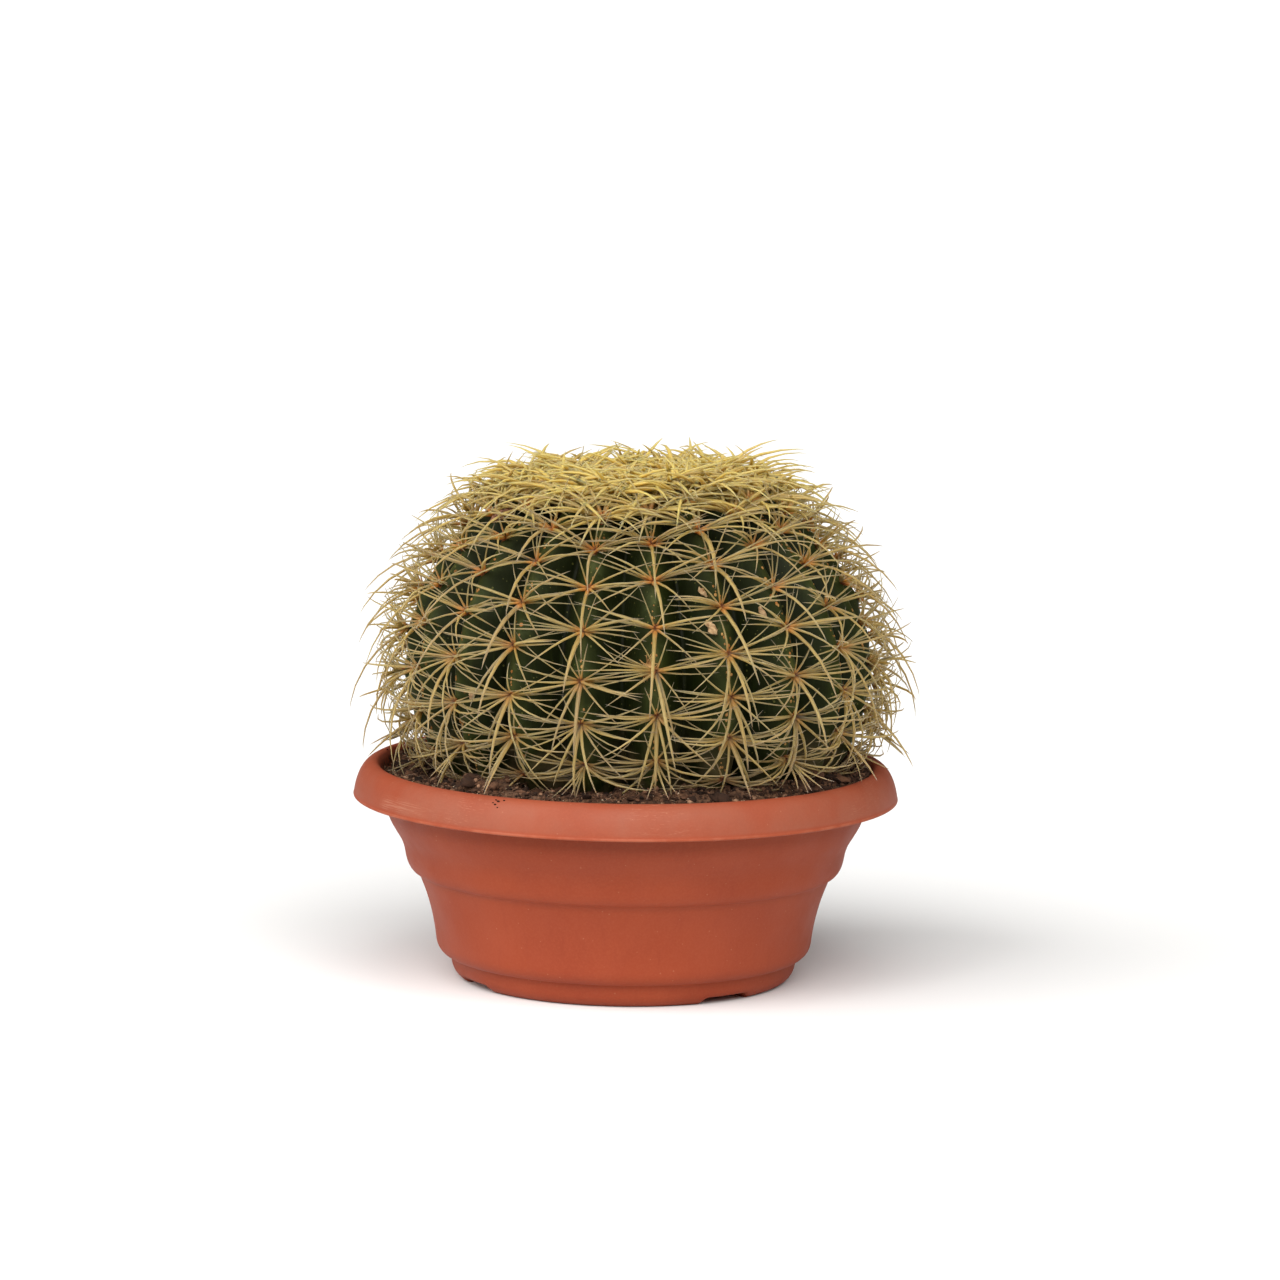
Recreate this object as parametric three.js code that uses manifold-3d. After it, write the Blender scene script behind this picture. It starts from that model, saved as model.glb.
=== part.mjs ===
// A round ribbed cactus with golden spines, growing in soil in a stepped bowl of terracotta-coloured plastic.
// Millimetres, +Z up. The origin is on the plant's axis, in the plane that the pot stands on. The front is -Y.
import * as THREE from "three";
import { mergeVertices } from "three/addons/utils/BufferGeometryUtils.js";
import Module from "manifold-3d";

const wasm = await Module();
wasm.setup();

// ---- driving dimensions ----

const clearance = 0.3; // between pieces that touch

const pot = {
  axis: new THREE.Vector2(-5.6, -3.5), // the plant grows a little off the middle of its pot
  segments: 36,
  wall: 2,
  height: 107.6,
  rimRadius: 135,
  crestRadius: 124.5, // where the rim is highest
  lipBottom: 90.6,
  footRadius: 83.5,
  footInner: 72, // the ring that the pot stands on
  baseUnderside: 3.6,
  floor: 5.6,
  notches: [38, 168, 298], // degrees round from the front, towards +X
  notchWidth: 25,
  notchHeight: 3.6,
  drainHoles: 6,
  drainRadius: 5,
  drainCircle: 54,
};

const soil = {
  level: 105,
  rise: new THREE.Vector2(0.012, -0.008), // it lies higher at the right and the front
  bump: 0.7,
  rings: [120.6, 112, 104, 94], // radii of the rings of points that make its rough top
};

const plant = {
  ribs: 20,
  firstRib: 4.2, // degrees round from the front
  widest: 115,
  widestZ: 156.4,
  halfHeight: 103,
  roundness: 1.89, // power of the outline: 2 is an ellipse
  top: 246,
  dip: 4, // the crown sinks by this much in its middle
  dipWidth: 14,
  topBlend: 3,
  rootAngle: -75, // the outline ends here, under the soil
  rootTip: 54,
  lean: -0.019,
  grooveDepth: 21,
  grooveFade: 1.3, // grooves get shallower with the radius to this power
  grooveShape: 1.6, // rounded ribs between sharp grooves
  flankSteps: 2, // faces from a rib's crest to its groove
  ringStep: 20, // between the rings of its points, down to the soil
  buriedFrom: 226, // distance from the middle of the crown at which it is all under the soil
  buriedRings: 2,
};

const areoles = {
  spacing: 21.4, // along a rib
  firstRow: 68.3, // distance from the middle of the crown, along the first rib
  turnPerRib: 0.59, // each rib starts this much of a spacing further on
  crowding: 0.72, // young ones towards the middle of the crown stand closer and closer
  youngRows: 5,
  lastRow: 222,
  unevenness: 1.5, // each is up to this far from its even place along the rib
};

const crown = {
  reach: 32, // distance from the middle to the rim of the wool
  thickness: 4.5,
  segments: 24,
  spineFoot: 1, // height of their feet above the ribs, inside the wool
  spineGap: 2.4, // least distance from its spines to those of the ribs
};

// The kinds of spine on one areole. turn is measured in the skin's plane from straight down the rib, lift is the
// angle at which it leaves the skin, and droop is how far it bends back along its length.
const spineKinds = [
  { turn: 0, lift: 64, droop: 78, length: 44, width: 2.5, steps: 2 }, // the broad one that hangs down the rib
  { turn: 155, lift: 52, droop: 6, length: 32, width: 1.4, steps: 1 }, // an upright one, on either side in turn
  { turn: 101, lift: 26, droop: 20, length: 32, width: 1.6, steps: 1 }, // the long pair across the grooves
  { turn: -101, lift: 26, droop: 20, length: 32, width: 1.6, steps: 1 },
];

const spineSpread = { turn: 9, lift: 7, length: 0.14 }; // how much each differs from its kind, at most
const spineRoot = 2.5; // how deep its foot is sunk into the rib
const spineFlatness = 0.6; // thickness over width
const young = { within: 62, full: 24, lift: 74, length: 0.7, droop: 0.5 }; // how spines change towards the middle
const groundGap = 1.5; // spines stay this far above the soil and the rim

// ---- solids ----

function solidOf(geometry) {
  const bare = geometry.clone();
  for (const name of Object.keys(bare.attributes)) if (name !== "position") bare.deleteAttribute(name);
  const merged = mergeVertices(bare, 1e-4);
  const vertProperties = new Float32Array(merged.attributes.position.array);
  const triVerts = new Uint32Array(merged.index.array);
  return new wasm.Manifold(new wasm.Mesh({ numProp: 3, vertProperties, triVerts }));
}

function geometryOf(solid) {
  const mesh = solid.getMesh();
  return new THREE.BufferGeometry()
    .setAttribute("position", new THREE.BufferAttribute(mesh.vertProperties, 3))
    .setIndex(new THREE.BufferAttribute(mesh.triVerts, 1));
}

// Joins a list of solids two by two, which is quicker than one after the other.
function joined(solids) {
  let list = solids;
  while (list.length > 1) {
    const pairs = [];
    for (let i = 0; i < list.length; i += 2) {
      pairs.push(i + 1 < list.length ? list[i].add(list[i + 1]) : list[i]);
    }
    list = pairs;
  }
  return list[0];
}

// Turns an outline, which starts and ends on the axis, about the vertical.
function turned(outline, segments) {
  return new THREE.LatheGeometry(outline, segments).rotateX(Math.PI / 2);
}

// A number from 0 to 1 that is always the same for the same three counts.
function chance(a, b, c) {
  const x = Math.sin(a * 12.9898 + b * 78.233 + c * 37.719) * 43758.5453;
  return x - Math.floor(x);
}

function spread(a, b, c, most) {
  return (2 * chance(a, b, c) - 1) * most;
}

// ---- pot ----

// The inside of the wall, from the floor up.
const innerWall = [
  [80, pot.floor],
  [88, 17],
  [98, 47.5],
  [107, 62],
  [115.2, 81],
  [121, 102.3],
];

function potOutline() {
  const path = new THREE.Path();
  path.moveTo(0, pot.baseUnderside);
  path.lineTo(pot.footInner, pot.baseUnderside);
  path.lineTo(pot.footInner + 1.5, 0);
  path.lineTo(pot.footRadius - 4.5, 0);
  path.quadraticCurveTo(pot.footRadius, 0, pot.footRadius + 2, 7.6);
  path.lineTo(pot.footRadius + 2.6, 11);
  path.lineTo(91, 13.4); // the lower step
  path.lineTo(93.3, 18.4);
  path.lineTo(95.4, 31); // the lower band
  path.lineTo(101.3, 49.2);
  path.lineTo(103, 52.9);
  path.lineTo(106.8, 54.6); // the upper step
  path.lineTo(109.1, 62.2);
  path.quadraticCurveTo(112, 69.5, 117.4, 80.5); // the upper band flares up under the rim
  path.lineTo(121, 94);
  path.lineTo(122.6, 100.3);
  path.quadraticCurveTo(124.6, 107, 127, 104.2); // the rim is hollow underneath
  path.lineTo(131.6, 97);
  path.lineTo(pot.rimRadius - pot.wall, pot.lipBottom);
  path.lineTo(pot.rimRadius, pot.lipBottom);
  path.bezierCurveTo(134.4, 98, 131.4, pot.height, pot.crestRadius, pot.height);
  path.lineTo(122.6, 106.6);
  for (const [radius, z] of [...innerWall].reverse()) path.lineTo(radius, z);
  path.lineTo(0, pot.floor);
  return path.getPoints(3);
}

function potSolid() {
  const cuts = [];
  const notchLength = 24;
  for (const degrees of pot.notches) {
    const angle = THREE.MathUtils.degToRad(degrees);
    const notch = new THREE.BoxGeometry(pot.notchWidth, notchLength, 2 * pot.notchHeight);
    notch.translate(0, -(pot.footInner - 4 + notchLength / 2), 0).rotateZ(angle);
    cuts.push(solidOf(notch));
  }
  for (let i = 0; i < pot.drainHoles; i++) {
    const angle = ((i + 0.5) * 2 * Math.PI) / pot.drainHoles;
    const hole = new THREE.CylinderGeometry(pot.drainRadius, pot.drainRadius, 3 * pot.floor, 12);
    hole.rotateX(Math.PI / 2).translate(0, -pot.drainCircle, 0).rotateZ(angle);
    cuts.push(solidOf(hole));
  }
  return solidOf(turned(potOutline(), pot.segments)).subtract(joined(cuts));
}

// ---- plant ----

// The outline of a rib's crest at an angle above the widest ring: its radius and height.
function crestAtAngle(angle) {
  const c = Math.abs(Math.cos(angle)) ** (2 / plant.roundness);
  const s = Math.abs(Math.sin(angle)) ** (2 / plant.roundness);
  const r = plant.widest * c;
  if (angle < 0) return new THREE.Vector2(r, plant.widestZ - plant.halfHeight * s);
  const round = plant.widestZ + plant.halfHeight * s;
  const flat = plant.top - plant.dip * Math.exp(-((r / plant.dipWidth) ** 2));
  // the lower of the two, with a soft change from one to the other
  return new THREE.Vector2(r, flat - plant.topBlend * Math.log(1 + Math.exp((flat - round) / plant.topBlend)));
}

// The same outline, measured by the distance along it from the middle of the crown.
const crestLine = [];
for (let i = 0, length = 0; i <= 800; i++) {
  const degrees = 90 + ((plant.rootAngle - 90) * i) / 800;
  const point = crestAtAngle(THREE.MathUtils.degToRad(degrees));
  if (i > 0) length += point.distanceTo(crestLine[i - 1].point);
  crestLine.push({ length, point });
}
const crestLength = crestLine.at(-1).length;

// Where the crest is at a distance along it, and which way it runs and faces there, in the plane of radius and height.
function crestAt(distance) {
  let i = crestLine.findIndex((entry) => entry.length > distance);
  if (i < 1) i = i < 0 ? crestLine.length - 1 : 1;
  const [a, b] = [crestLine[i - 1], crestLine[i]];
  const share = THREE.MathUtils.clamp((distance - a.length) / (b.length - a.length), 0, 1);
  const point = a.point.clone().lerp(b.point, share);
  const along = b.point.clone().sub(a.point).normalize();
  const out = new THREE.Vector2(-along.y, along.x);
  return { point, along, out };
}

// A point of the plant from its radius, height and angle round from the front.
function placed(r, z, angle) {
  return new THREE.Vector3(r * Math.sin(angle) + plant.lean * (z - plant.widestZ), -r * Math.cos(angle), z);
}

function ribAngle(rib) {
  return THREE.MathUtils.degToRad(plant.firstRib) + (rib * 2 * Math.PI) / plant.ribs;
}

// The ribbed body, larger by grow on all sides. Ring by ring, its points go in from the crest towards the groove.
function bodySolid(grow) {
  const perRib = 2 * plant.flankSteps;
  const rings = [{ point: new THREE.Vector2(0, plant.rootTip - grow), out: null }];
  for (let i = plant.buriedRings; i > 0; i--) {
    rings.push(crestAt(THREE.MathUtils.lerp(plant.buriedFrom, crestLength, i / plant.buriedRings)));
  }
  const count = Math.round(plant.buriedFrom / plant.ringStep);
  for (let i = count; i > 0; i--) rings.push(crestAt((i / count) * plant.buriedFrom));
  const middle = crestAt(0);
  rings.push({ point: new THREE.Vector2(0, middle.point.y + grow), out: null });
  const outline = rings.map((ring) => ring.point);
  const lathe = new THREE.LatheGeometry(outline, plant.ribs * perRib);
  const position = lathe.attributes.position;
  for (let i = 0; i < position.count; i++) {
    const ring = rings[i % rings.length];
    const column = Math.floor(i / rings.length);
    const angle = ribAngle(column / perRib);
    let { x: r, y: z } = ring.point;
    if (ring.out) {
      const across = Math.abs(((column + plant.flankSteps) % perRib) - plant.flankSteps) / plant.flankSteps;
      const depth = plant.grooveDepth * (r / plant.widest) ** plant.grooveFade * across ** plant.grooveShape;
      r += ring.out.x * (grow - depth);
      z += ring.out.y * (grow - depth);
    }
    const p = placed(r, z, angle);
    position.setXYZ(i, p.x, p.y, p.z);
  }
  return solidOf(lathe);
}

// ---- soil ----

function soilHeight(x, y) {
  const rough = Math.sin(x / 7.3 + 1.1) * Math.cos(y / 8.9) + 0.6 * Math.sin((x + 1.7 * y) / 5.1);
  return soil.level + soil.rise.x * x + soil.rise.y * y + soil.bump * rough;
}

// The lowest height that a spine may have: over the wool of the crown, over the soil, or over the rim of the pot.
function groundHeight(x, y) {
  if (Math.hypot(x, y) < crown.reach + 2) return plant.top + crown.thickness;
  const fromPotAxis = Math.hypot(x - pot.axis.x, y - pot.axis.y);
  return fromPotAxis < soil.rings[0] ? soilHeight(x, y) : pot.height;
}

function soilSolid() {
  const sides = innerWall.slice(0, -1).map(([radius, z]) => new THREE.Vector2(radius - 1.5 * clearance, z));
  sides[0].y += clearance;
  const tops = soil.rings.map((radius) => new THREE.Vector2(radius, soil.level));
  const outline = [new THREE.Vector2(0, sides[0].y), ...sides, ...tops, new THREE.Vector2(0, soil.level)];
  const lathe = turned(outline, pot.segments).translate(pot.axis.x, pot.axis.y, 0);
  const position = lathe.attributes.position;
  for (let i = 0; i < position.count; i++) {
    if (position.getZ(i) < soil.level - 1) continue;
    position.setZ(i, soilHeight(position.getX(i), position.getY(i)));
  }
  return solidOf(lathe).subtract(bodySolid(clearance));
}

// ---- spines ----

// Every areole of the plant: its rib, its row (young ones below 0) and its distance from the middle of the crown.
function allAreoles() {
  const list = [];
  for (let rib = 0; rib < plant.ribs; rib++) {
    const first = areoles.firstRow + areoles.spacing * (((areoles.turnPerRib * rib + 0.4) % 1) - 0.4);
    for (let row = 0; first + row * areoles.spacing < areoles.lastRow; row++) {
      const uneven = spread(rib, row, 9, areoles.unevenness);
      list.push({ rib, row, distance: first + row * areoles.spacing + uneven });
    }
    for (let row = -1; row >= -areoles.youngRows; row--) {
      list.push({ rib, row, distance: first * areoles.crowding ** -row });
    }
  }
  return list;
}

// One spine of an areole, as an arc: from, the two directions it bends between, and its size.
function spineOf(areole, index, kind, foot) {
  const { rib, row, distance } = areole;
  const { point, along, out } = crestAt(distance);
  const angle = ribAngle(rib);
  const outward = new THREE.Vector3(Math.sin(angle), -Math.cos(angle), 0);
  const side = new THREE.Vector3(Math.cos(angle), Math.sin(angle), 0);
  const up = new THREE.Vector3(0, 0, 1);
  const down = outward.clone().multiplyScalar(along.x).addScaledVector(up, along.y);
  const normal = outward.clone().multiplyScalar(out.x).addScaledVector(up, out.y);
  const seed = rib + plant.ribs * (row + areoles.youngRows);
  const hand = index === 1 && (rib + row) % 2 ? -1 : 1;
  const turn = THREE.MathUtils.degToRad(hand * kind.turn + spread(seed, index, 1, spineSpread.turn));
  const youth = THREE.MathUtils.clamp((young.within - distance) / (young.within - young.full), 0, 1);
  const lift = THREE.MathUtils.lerp(kind.lift, Math.max(kind.lift, young.lift), youth);
  const grown = THREE.MathUtils.lerp(1, young.length, youth);
  return {
    from: placed(point.x, point.y, angle).addScaledVector(normal, foot),
    flat: down.multiplyScalar(Math.cos(turn)).addScaledVector(side, Math.sin(turn)),
    normal,
    lift: THREE.MathUtils.degToRad(lift + spread(seed, index, 2, spineSpread.lift)),
    droop: THREE.MathUtils.degToRad(kind.droop * THREE.MathUtils.lerp(1, young.droop, youth)),
    length: kind.length * grown * (1 + spread(seed, index, 3, spineSpread.length)) - foot,
    width: kind.width,
    steps: kind.steps,
  };
}

// The point of a spine's middle line at a share of its length.
function spinePoint(spine, share) {
  const { lift, droop, length } = spine;
  const now = lift - droop * share;
  return spine.from
    .clone()
    .addScaledVector(spine.flat, (length * (Math.sin(lift) - Math.sin(now))) / droop)
    .addScaledVector(spine.normal, (length * (Math.cos(now) - Math.cos(lift))) / droop);
}

function isOverGround(spine) {
  return [0.35, 0.5, 0.65, 0.8, 1].every((share) => {
    const p = spinePoint(spine, share);
    return p.z > groundHeight(p.x, p.y) + groundGap;
  });
}

// Bends a low spine up, and shortens it, until it is clear of the soil and the rim.
function bentClear(spine) {
  for (let i = 0; i < 12 && !isOverGround(spine); i++) {
    spine.droop *= 0.85;
    spine.lift += 0.06;
    spine.length *= 0.96;
  }
  return isOverGround(spine);
}

// A three-sided needle along the spine's arc.
function needle(spine) {
  const cone = new THREE.ConeGeometry(0.5, 1, 3, spine.steps, false);
  const side = new THREE.Vector3().crossVectors(spine.normal, spine.flat);
  const position = cone.attributes.position;
  for (let i = 0; i < position.count; i++) {
    const share = position.getY(i) + 0.5;
    const now = spine.lift - spine.droop * share;
    const thick = spine.normal.clone().multiplyScalar(Math.cos(now)).addScaledVector(spine.flat, -Math.sin(now));
    const p = spinePoint(spine, share)
      .addScaledVector(side, spine.width * position.getZ(i))
      .addScaledVector(thick, spineFlatness * spine.width * position.getX(i));
    position.setXYZ(i, p.x, p.y, p.z);
  }
  return solidOf(cone);
}

// The least distance between the middle lines of two spines.
function gapBetween(a, b) {
  let least = Infinity;
  for (let i = 0; i < a.steps; i++) {
    const segment = new THREE.Line3(spinePoint(a, i / a.steps), spinePoint(a, (i + 1) / a.steps));
    for (let j = 0; j <= 12; j++) {
      const p = spinePoint(b, j / 12);
      least = Math.min(least, segment.closestPointToPoint(p, true, new THREE.Vector3()).distanceTo(p));
    }
  }
  return least;
}

const ribSpines = [];
const crownSpines = [];
for (const areole of allAreoles()) {
  const inWool = areole.distance < crown.reach - 3;
  if (!inWool && areole.distance < crown.reach + 6) continue;
  spineKinds.forEach((kind, index) => {
    const spine = spineOf(areole, index, kind, inWool ? crown.spineFoot : -spineRoot);
    if (inWool) {
      if (index === Math.abs(areole.rib + areole.row) % 2) crownSpines.push(spine);
    } else if (bentClear(spine)) {
      ribSpines.push(spine);
    }
  });
}

function cactusSolid() {
  return bodySolid(0).add(joined(ribSpines.map(needle)));
}

// ---- crown ----

// The felt of pale wool over the growing point, which lies on the ribs, with the youngest spines standing in it.
function crownSolid() {
  const steps = 4;
  const under = [];
  const over = [];
  for (let i = 0; i <= steps; i++) {
    const share = i / steps;
    const { point, out } = crestAt(Math.max(share * crown.reach, 0.01));
    if (i === 0) out.set(0, 1);
    under.push(point.clone().addScaledVector(out, clearance).setX(share * crown.reach));
    if (i < steps) {
      const height = clearance + crown.thickness * Math.sqrt(1 - share ** 2);
      over.unshift(point.clone().addScaledVector(out, height).setX(share * crown.reach));
    }
  }
  const felt = turned([...under, ...over], crown.segments);
  felt.translate(plant.lean * (plant.top - plant.widestZ), 0, 0);
  const needles = crownSpines.filter((spine) => ribSpines.every((other) => gapBetween(spine, other) > crown.spineGap));
  return solidOf(felt).add(joined(needles.map(needle)));
}

// ---- the object ----

function piece(name, solid, color, roughness, x = 0, y = 0) {
  const material = new THREE.MeshStandardMaterial({ color, roughness, metalness: 0 });
  const mesh = new THREE.Mesh(geometryOf(solid), material);
  mesh.name = name;
  mesh.position.set(x, y, 0);
  return mesh;
}

const pottedCactus = new THREE.Group();
pottedCactus.add(piece("pot", potSolid(), 0xb4613f, 0.55, pot.axis.x, pot.axis.y));
pottedCactus.add(piece("soil", soilSolid(), 0x493422, 1));
pottedCactus.add(piece("cactus", cactusSolid(), 0x3a4a22, 0.6));
pottedCactus.add(piece("crown", crownSolid(), 0xc3ab6a, 0.9));

export default pottedCactus;
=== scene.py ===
import math
import random

import bmesh
import bpy
from mathutils import Matrix, Vector, noise
from mathutils.geometry import interpolate_bezier


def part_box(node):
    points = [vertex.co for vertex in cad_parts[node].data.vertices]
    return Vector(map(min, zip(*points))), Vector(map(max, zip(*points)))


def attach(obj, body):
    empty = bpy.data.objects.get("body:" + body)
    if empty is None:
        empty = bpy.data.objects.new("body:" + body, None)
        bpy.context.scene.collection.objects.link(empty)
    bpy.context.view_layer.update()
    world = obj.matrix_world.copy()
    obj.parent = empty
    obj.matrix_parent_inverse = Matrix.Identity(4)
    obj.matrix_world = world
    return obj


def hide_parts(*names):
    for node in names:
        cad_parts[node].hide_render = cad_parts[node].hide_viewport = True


# A round ribbed cactus with golden spines, in soil in a stepped plastic bowl. Metres, +Z up, the front is -Y.
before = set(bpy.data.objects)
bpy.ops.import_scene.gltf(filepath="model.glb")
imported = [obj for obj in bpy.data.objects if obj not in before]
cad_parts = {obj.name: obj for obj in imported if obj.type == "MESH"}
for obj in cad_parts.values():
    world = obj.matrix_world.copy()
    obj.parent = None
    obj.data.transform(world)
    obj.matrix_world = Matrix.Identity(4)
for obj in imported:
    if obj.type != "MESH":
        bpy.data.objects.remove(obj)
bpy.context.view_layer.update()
noise.seed_set(7)  # without it each run gives the crumbs and tufts other dents


def meshFrom(name, bm):
    mesh = bpy.data.meshes.new(name)
    bm.to_mesh(mesh)
    bm.free()
    return mesh


def linkObject(name, data):
    made = bpy.data.objects.new(name, data)
    bpy.context.scene.collection.objects.link(made)
    return made


def placeObject(name, bm, node, material, smooth=True):
    for face in bm.faces:
        face.smooth = smooth
    mesh = meshFrom(name, bm)
    mesh.materials.append(material)
    piece = linkObject(name, mesh)
    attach(piece, "root")
    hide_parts(node)
    print(name, len(mesh.polygons), "faces")


def outlinePoints(start, spans):
    # a span is (point,) for a line or (handle, handle, point, steps) for a curve, in (radius, height)
    points = [Vector((start[0], 0, start[1]))]
    for span in spans:
        corners = [Vector((radius, 0, height)) for radius, height in span[:3]]
        if len(span) == 1:
            points += corners
        else:
            points += interpolate_bezier(points[-1], *corners, span[3] + 1)[1:]
    return points


def turnOutline(bm, points, steps, layer=None, values=None):
    # a full turn of an outline about the vertical through the origin
    verts = [bm.verts.new(p) for p in points]
    if layer:
        for vert, value in zip(verts, values):
            vert[layer] = value
    edges = [bm.edges.new(pair) for pair in zip(verts, verts[1:])]
    bmesh.ops.spin(
        bm, geom=verts + edges, cent=(0, 0, 0), axis=(0, 0, 1),
        angle=2 * math.pi, steps=steps, use_merge=True)
    bmesh.ops.remove_doubles(bm, verts=bm.verts, dist=1e-6)
    bmesh.ops.recalc_face_normals(bm, faces=bm.faces)


def chance(a, b, c):
    # the same number from 0 to 1 for the same three counts
    x = math.sin(a * 12.9898 + b * 78.233 + c * 37.719) * 43758.5453
    return x - math.floor(x)


def spread(a, b, c, most):
    return (2 * chance(a, b, c) - 1) * most


def mix(a, b, share):
    return a + (b - a) * share


def clamp(x, low=0.0, high=1.0):
    return max(low, min(high, x))


def turned(first, second, angle):
    return first * math.cos(angle) + second * math.sin(angle)


def rise(x, low, high):
    # 0 at low, 1 at high and even between them
    return clamp((x - low) / (high - low))


def waysAt(angle):
    # outwards and sidewards at an angle round from the front
    return Vector((math.sin(angle), -math.cos(angle), 0)), Vector((math.cos(angle), math.sin(angle), 0))


def color(red, green, blue):
    # from screen values of 0 to 255 to linear light
    def linear(c):
        c /= 255
        return c / 12.92 if c <= 0.04045 else ((c + 0.055) / 1.055) ** 2.4
    return (linear(red), linear(green), linear(blue), 1)


def newMaterial(name, base, roughness, sockets):
    material = bpy.data.materials.new(name)
    material.use_nodes = True
    shader = material.node_tree.nodes["Principled BSDF"]
    for socket, value in {"Base Color": base, "Roughness": roughness, **sockets}.items():
        shader.inputs[socket].default_value = value
    return material, material.node_tree, shader


def addNode(tree, kind, inputs=None, **settings):
    node = tree.nodes.new(kind)
    for name, value in settings.items():
        setattr(node, name, value)
    for key, value in (inputs or {}).items():
        socket = node.inputs[key]
        if isinstance(value, bpy.types.NodeSocket):
            tree.links.new(value, socket)
        else:
            socket.default_value = value
    return node


def addRamp(tree, factor, stops):
    ramp = addNode(tree, "ShaderNodeValToRGB", {"Fac": factor})
    elements = ramp.color_ramp.elements
    while len(elements) < len(stops):
        elements.new(0.5)
    for element, (place, tint) in zip(elements, stops):
        element.position = place
        element.color = color(*tint)
    return ramp.outputs["Color"]


def addMix(tree, factor, first, second):
    return addNode(tree, "ShaderNodeMix", {0: factor, 6: first, 7: second}, data_type="RGBA").outputs[2]


def addMath(tree, operation, *values):
    return addNode(tree, "ShaderNodeMath", dict(enumerate(values)), operation=operation).outputs[0]


def addProduct(tree, result, *factors):
    for factor in factors:
        result = addMath(tree, "MULTIPLY", result, factor)
    return result


def addRange(tree, value, low, high, toLow=0.0, toHigh=1.0):
    inputs = {"Value": value, "From Min": low, "From Max": high, "To Min": toLow, "To Max": toHigh}
    return addNode(tree, "ShaderNodeMapRange", inputs, interpolation_type="SMOOTHSTEP").outputs["Result"]


def addNoise(tree, vector, scale, detail=3.0, roughness=0.5):
    inputs = {"Vector": vector, "Scale": scale, "Detail": detail, "Roughness": roughness}
    return addNode(tree, "ShaderNodeTexNoise", inputs).outputs["Fac"]


def objectPlace(tree):
    return addNode(tree, "ShaderNodeTexCoord").outputs["Object"]


def attribute(tree, name):
    return addNode(tree, "ShaderNodeAttribute", attribute_name=name).outputs["Fac"]


def addBump(tree, height, strength, distance, normal=None):
    inputs = {"Height": height, "Strength": strength, "Distance": distance}
    if normal:
        inputs["Normal"] = normal
    return addNode(tree, "ShaderNodeBump", inputs).outputs["Normal"]


def makeSpecks():
    # small scattered dots: a mask of round spots, each of its own size, in those cells that a random draw
    # lets have one
    group = bpy.data.node_groups.new("specks", "ShaderNodeTree")
    inputs = {"Place": "NodeSocketVector", "Scale": "NodeSocketFloat", "Amount": "NodeSocketFloat"}
    for name, kind in inputs.items():
        group.interface.new_socket(name, in_out="INPUT", socket_type=kind)
    group.interface.new_socket("Mask", in_out="OUTPUT", socket_type="NodeSocketFloat")
    given = group.nodes.new("NodeGroupInput").outputs
    cells = addNode(group, "ShaderNodeTexVoronoi", {"Vector": given["Place"], "Scale": given["Scale"]})
    parts = addNode(group, "ShaderNodeSeparateColor", {"Color": cells.outputs["Color"]}).outputs
    size = addProduct(group, parts["Red"], 0.3)  # of a cell
    inside = addMath(group, "LESS_THAN", cells.outputs["Distance"], size)
    chosen = addMath(group, "LESS_THAN", parts["Green"], given["Amount"])
    result = group.nodes.new("NodeGroupOutput")
    group.links.new(addProduct(group, inside, chosen), result.inputs["Mask"])
    return group


specksGroup = makeSpecks()


def addSpecks(tree, place, scale, amount):
    inputs = {"Place": place, "Scale": scale, "Amount": amount}
    return addNode(tree, "ShaderNodeGroup", inputs, node_tree=specksGroup).outputs["Mask"]


def stretch(tree, vector, shape):
    return addNode(tree, "ShaderNodeMapping", {"Vector": vector, "Scale": shape}).outputs[0]


def makeFinish(name, finish, addSources=None):
    # A material from its settings. Sources are noises (scale, detail, roughness), specks (scale, amount),
    # attributes and what addSources adds. A ramp turns a source into colours. A layer is a colour, or the
    # name of a ramp, and its masks: a source, the limits between which it comes in, and its least and most.
    base = color(*finish["color"])
    material, tree, shader = newMaterial(name, base, finish["roughness"], finish["sockets"])
    place = objectPlace(tree)
    sources = {key: attribute(tree, key) for key in finish.get("attributes", ())}
    for key, values in finish["noises"].items():
        sources[key] = addNoise(tree, place, *values)
    for key, values in finish.get("specks", {}).items():
        sources[key] = addSpecks(tree, place, *values)
    if addSources:
        addSources(tree, place, sources)
    for key, (source, *stops) in finish["ramps"].items():
        sources[key] = addRamp(tree, sources[source], stops)
    base = sources["ground"]
    for tint, *masks in finish.get("layers", ()):
        shares = [addRange(tree, sources[key], *limits) for key, *limits in masks]
        tint = sources[tint] if isinstance(tint, str) else color(*tint)
        base = addMix(tree, addProduct(tree, *shares), base, tint)
    tree.links.new(base, shader.inputs["Base Color"])
    if "rough" in finish:
        key, *limits = finish["rough"]
        tree.links.new(addRange(tree, sources[key], *limits), shader.inputs["Roughness"])
    normal = None
    for key, strength, distance in finish["bumps"]:
        normal = addBump(tree, sources[key], strength, distance, normal)
    tree.links.new(normal, shader.inputs["Normal"])
    return material


studio = {
    "cameraFromPot": (0.0, -2.953, 0.587),
    "aim": (81.936, 0.117, 0.82),  # degrees: tilt from straight down, turn to the right, roll
    "pixelsPerMetreAtOne": 6027,  # focal length in pixels of the 1280 pixel frame
    "framePixels": 1280,
    "floorSize": 60,
    "floor": (0.8, 0.8, 0.8, 1),
    "world": (1.0, 1.0, 1.0, 1),
    "worldStrength": 0.08,
    "lightBreadth": 55,  # degrees across, as a big soft box has
    "lights": {  # strength, degrees round from the front towards the right, degrees above the floor
        "keyLight": (3.2, 0, 46),
        "leftLight": (2.45, -62, 38),
        "rightLight": (0.85, 50, 40),
    },
    "lightColor": (1, 0.99, 0.97),
}

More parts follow.
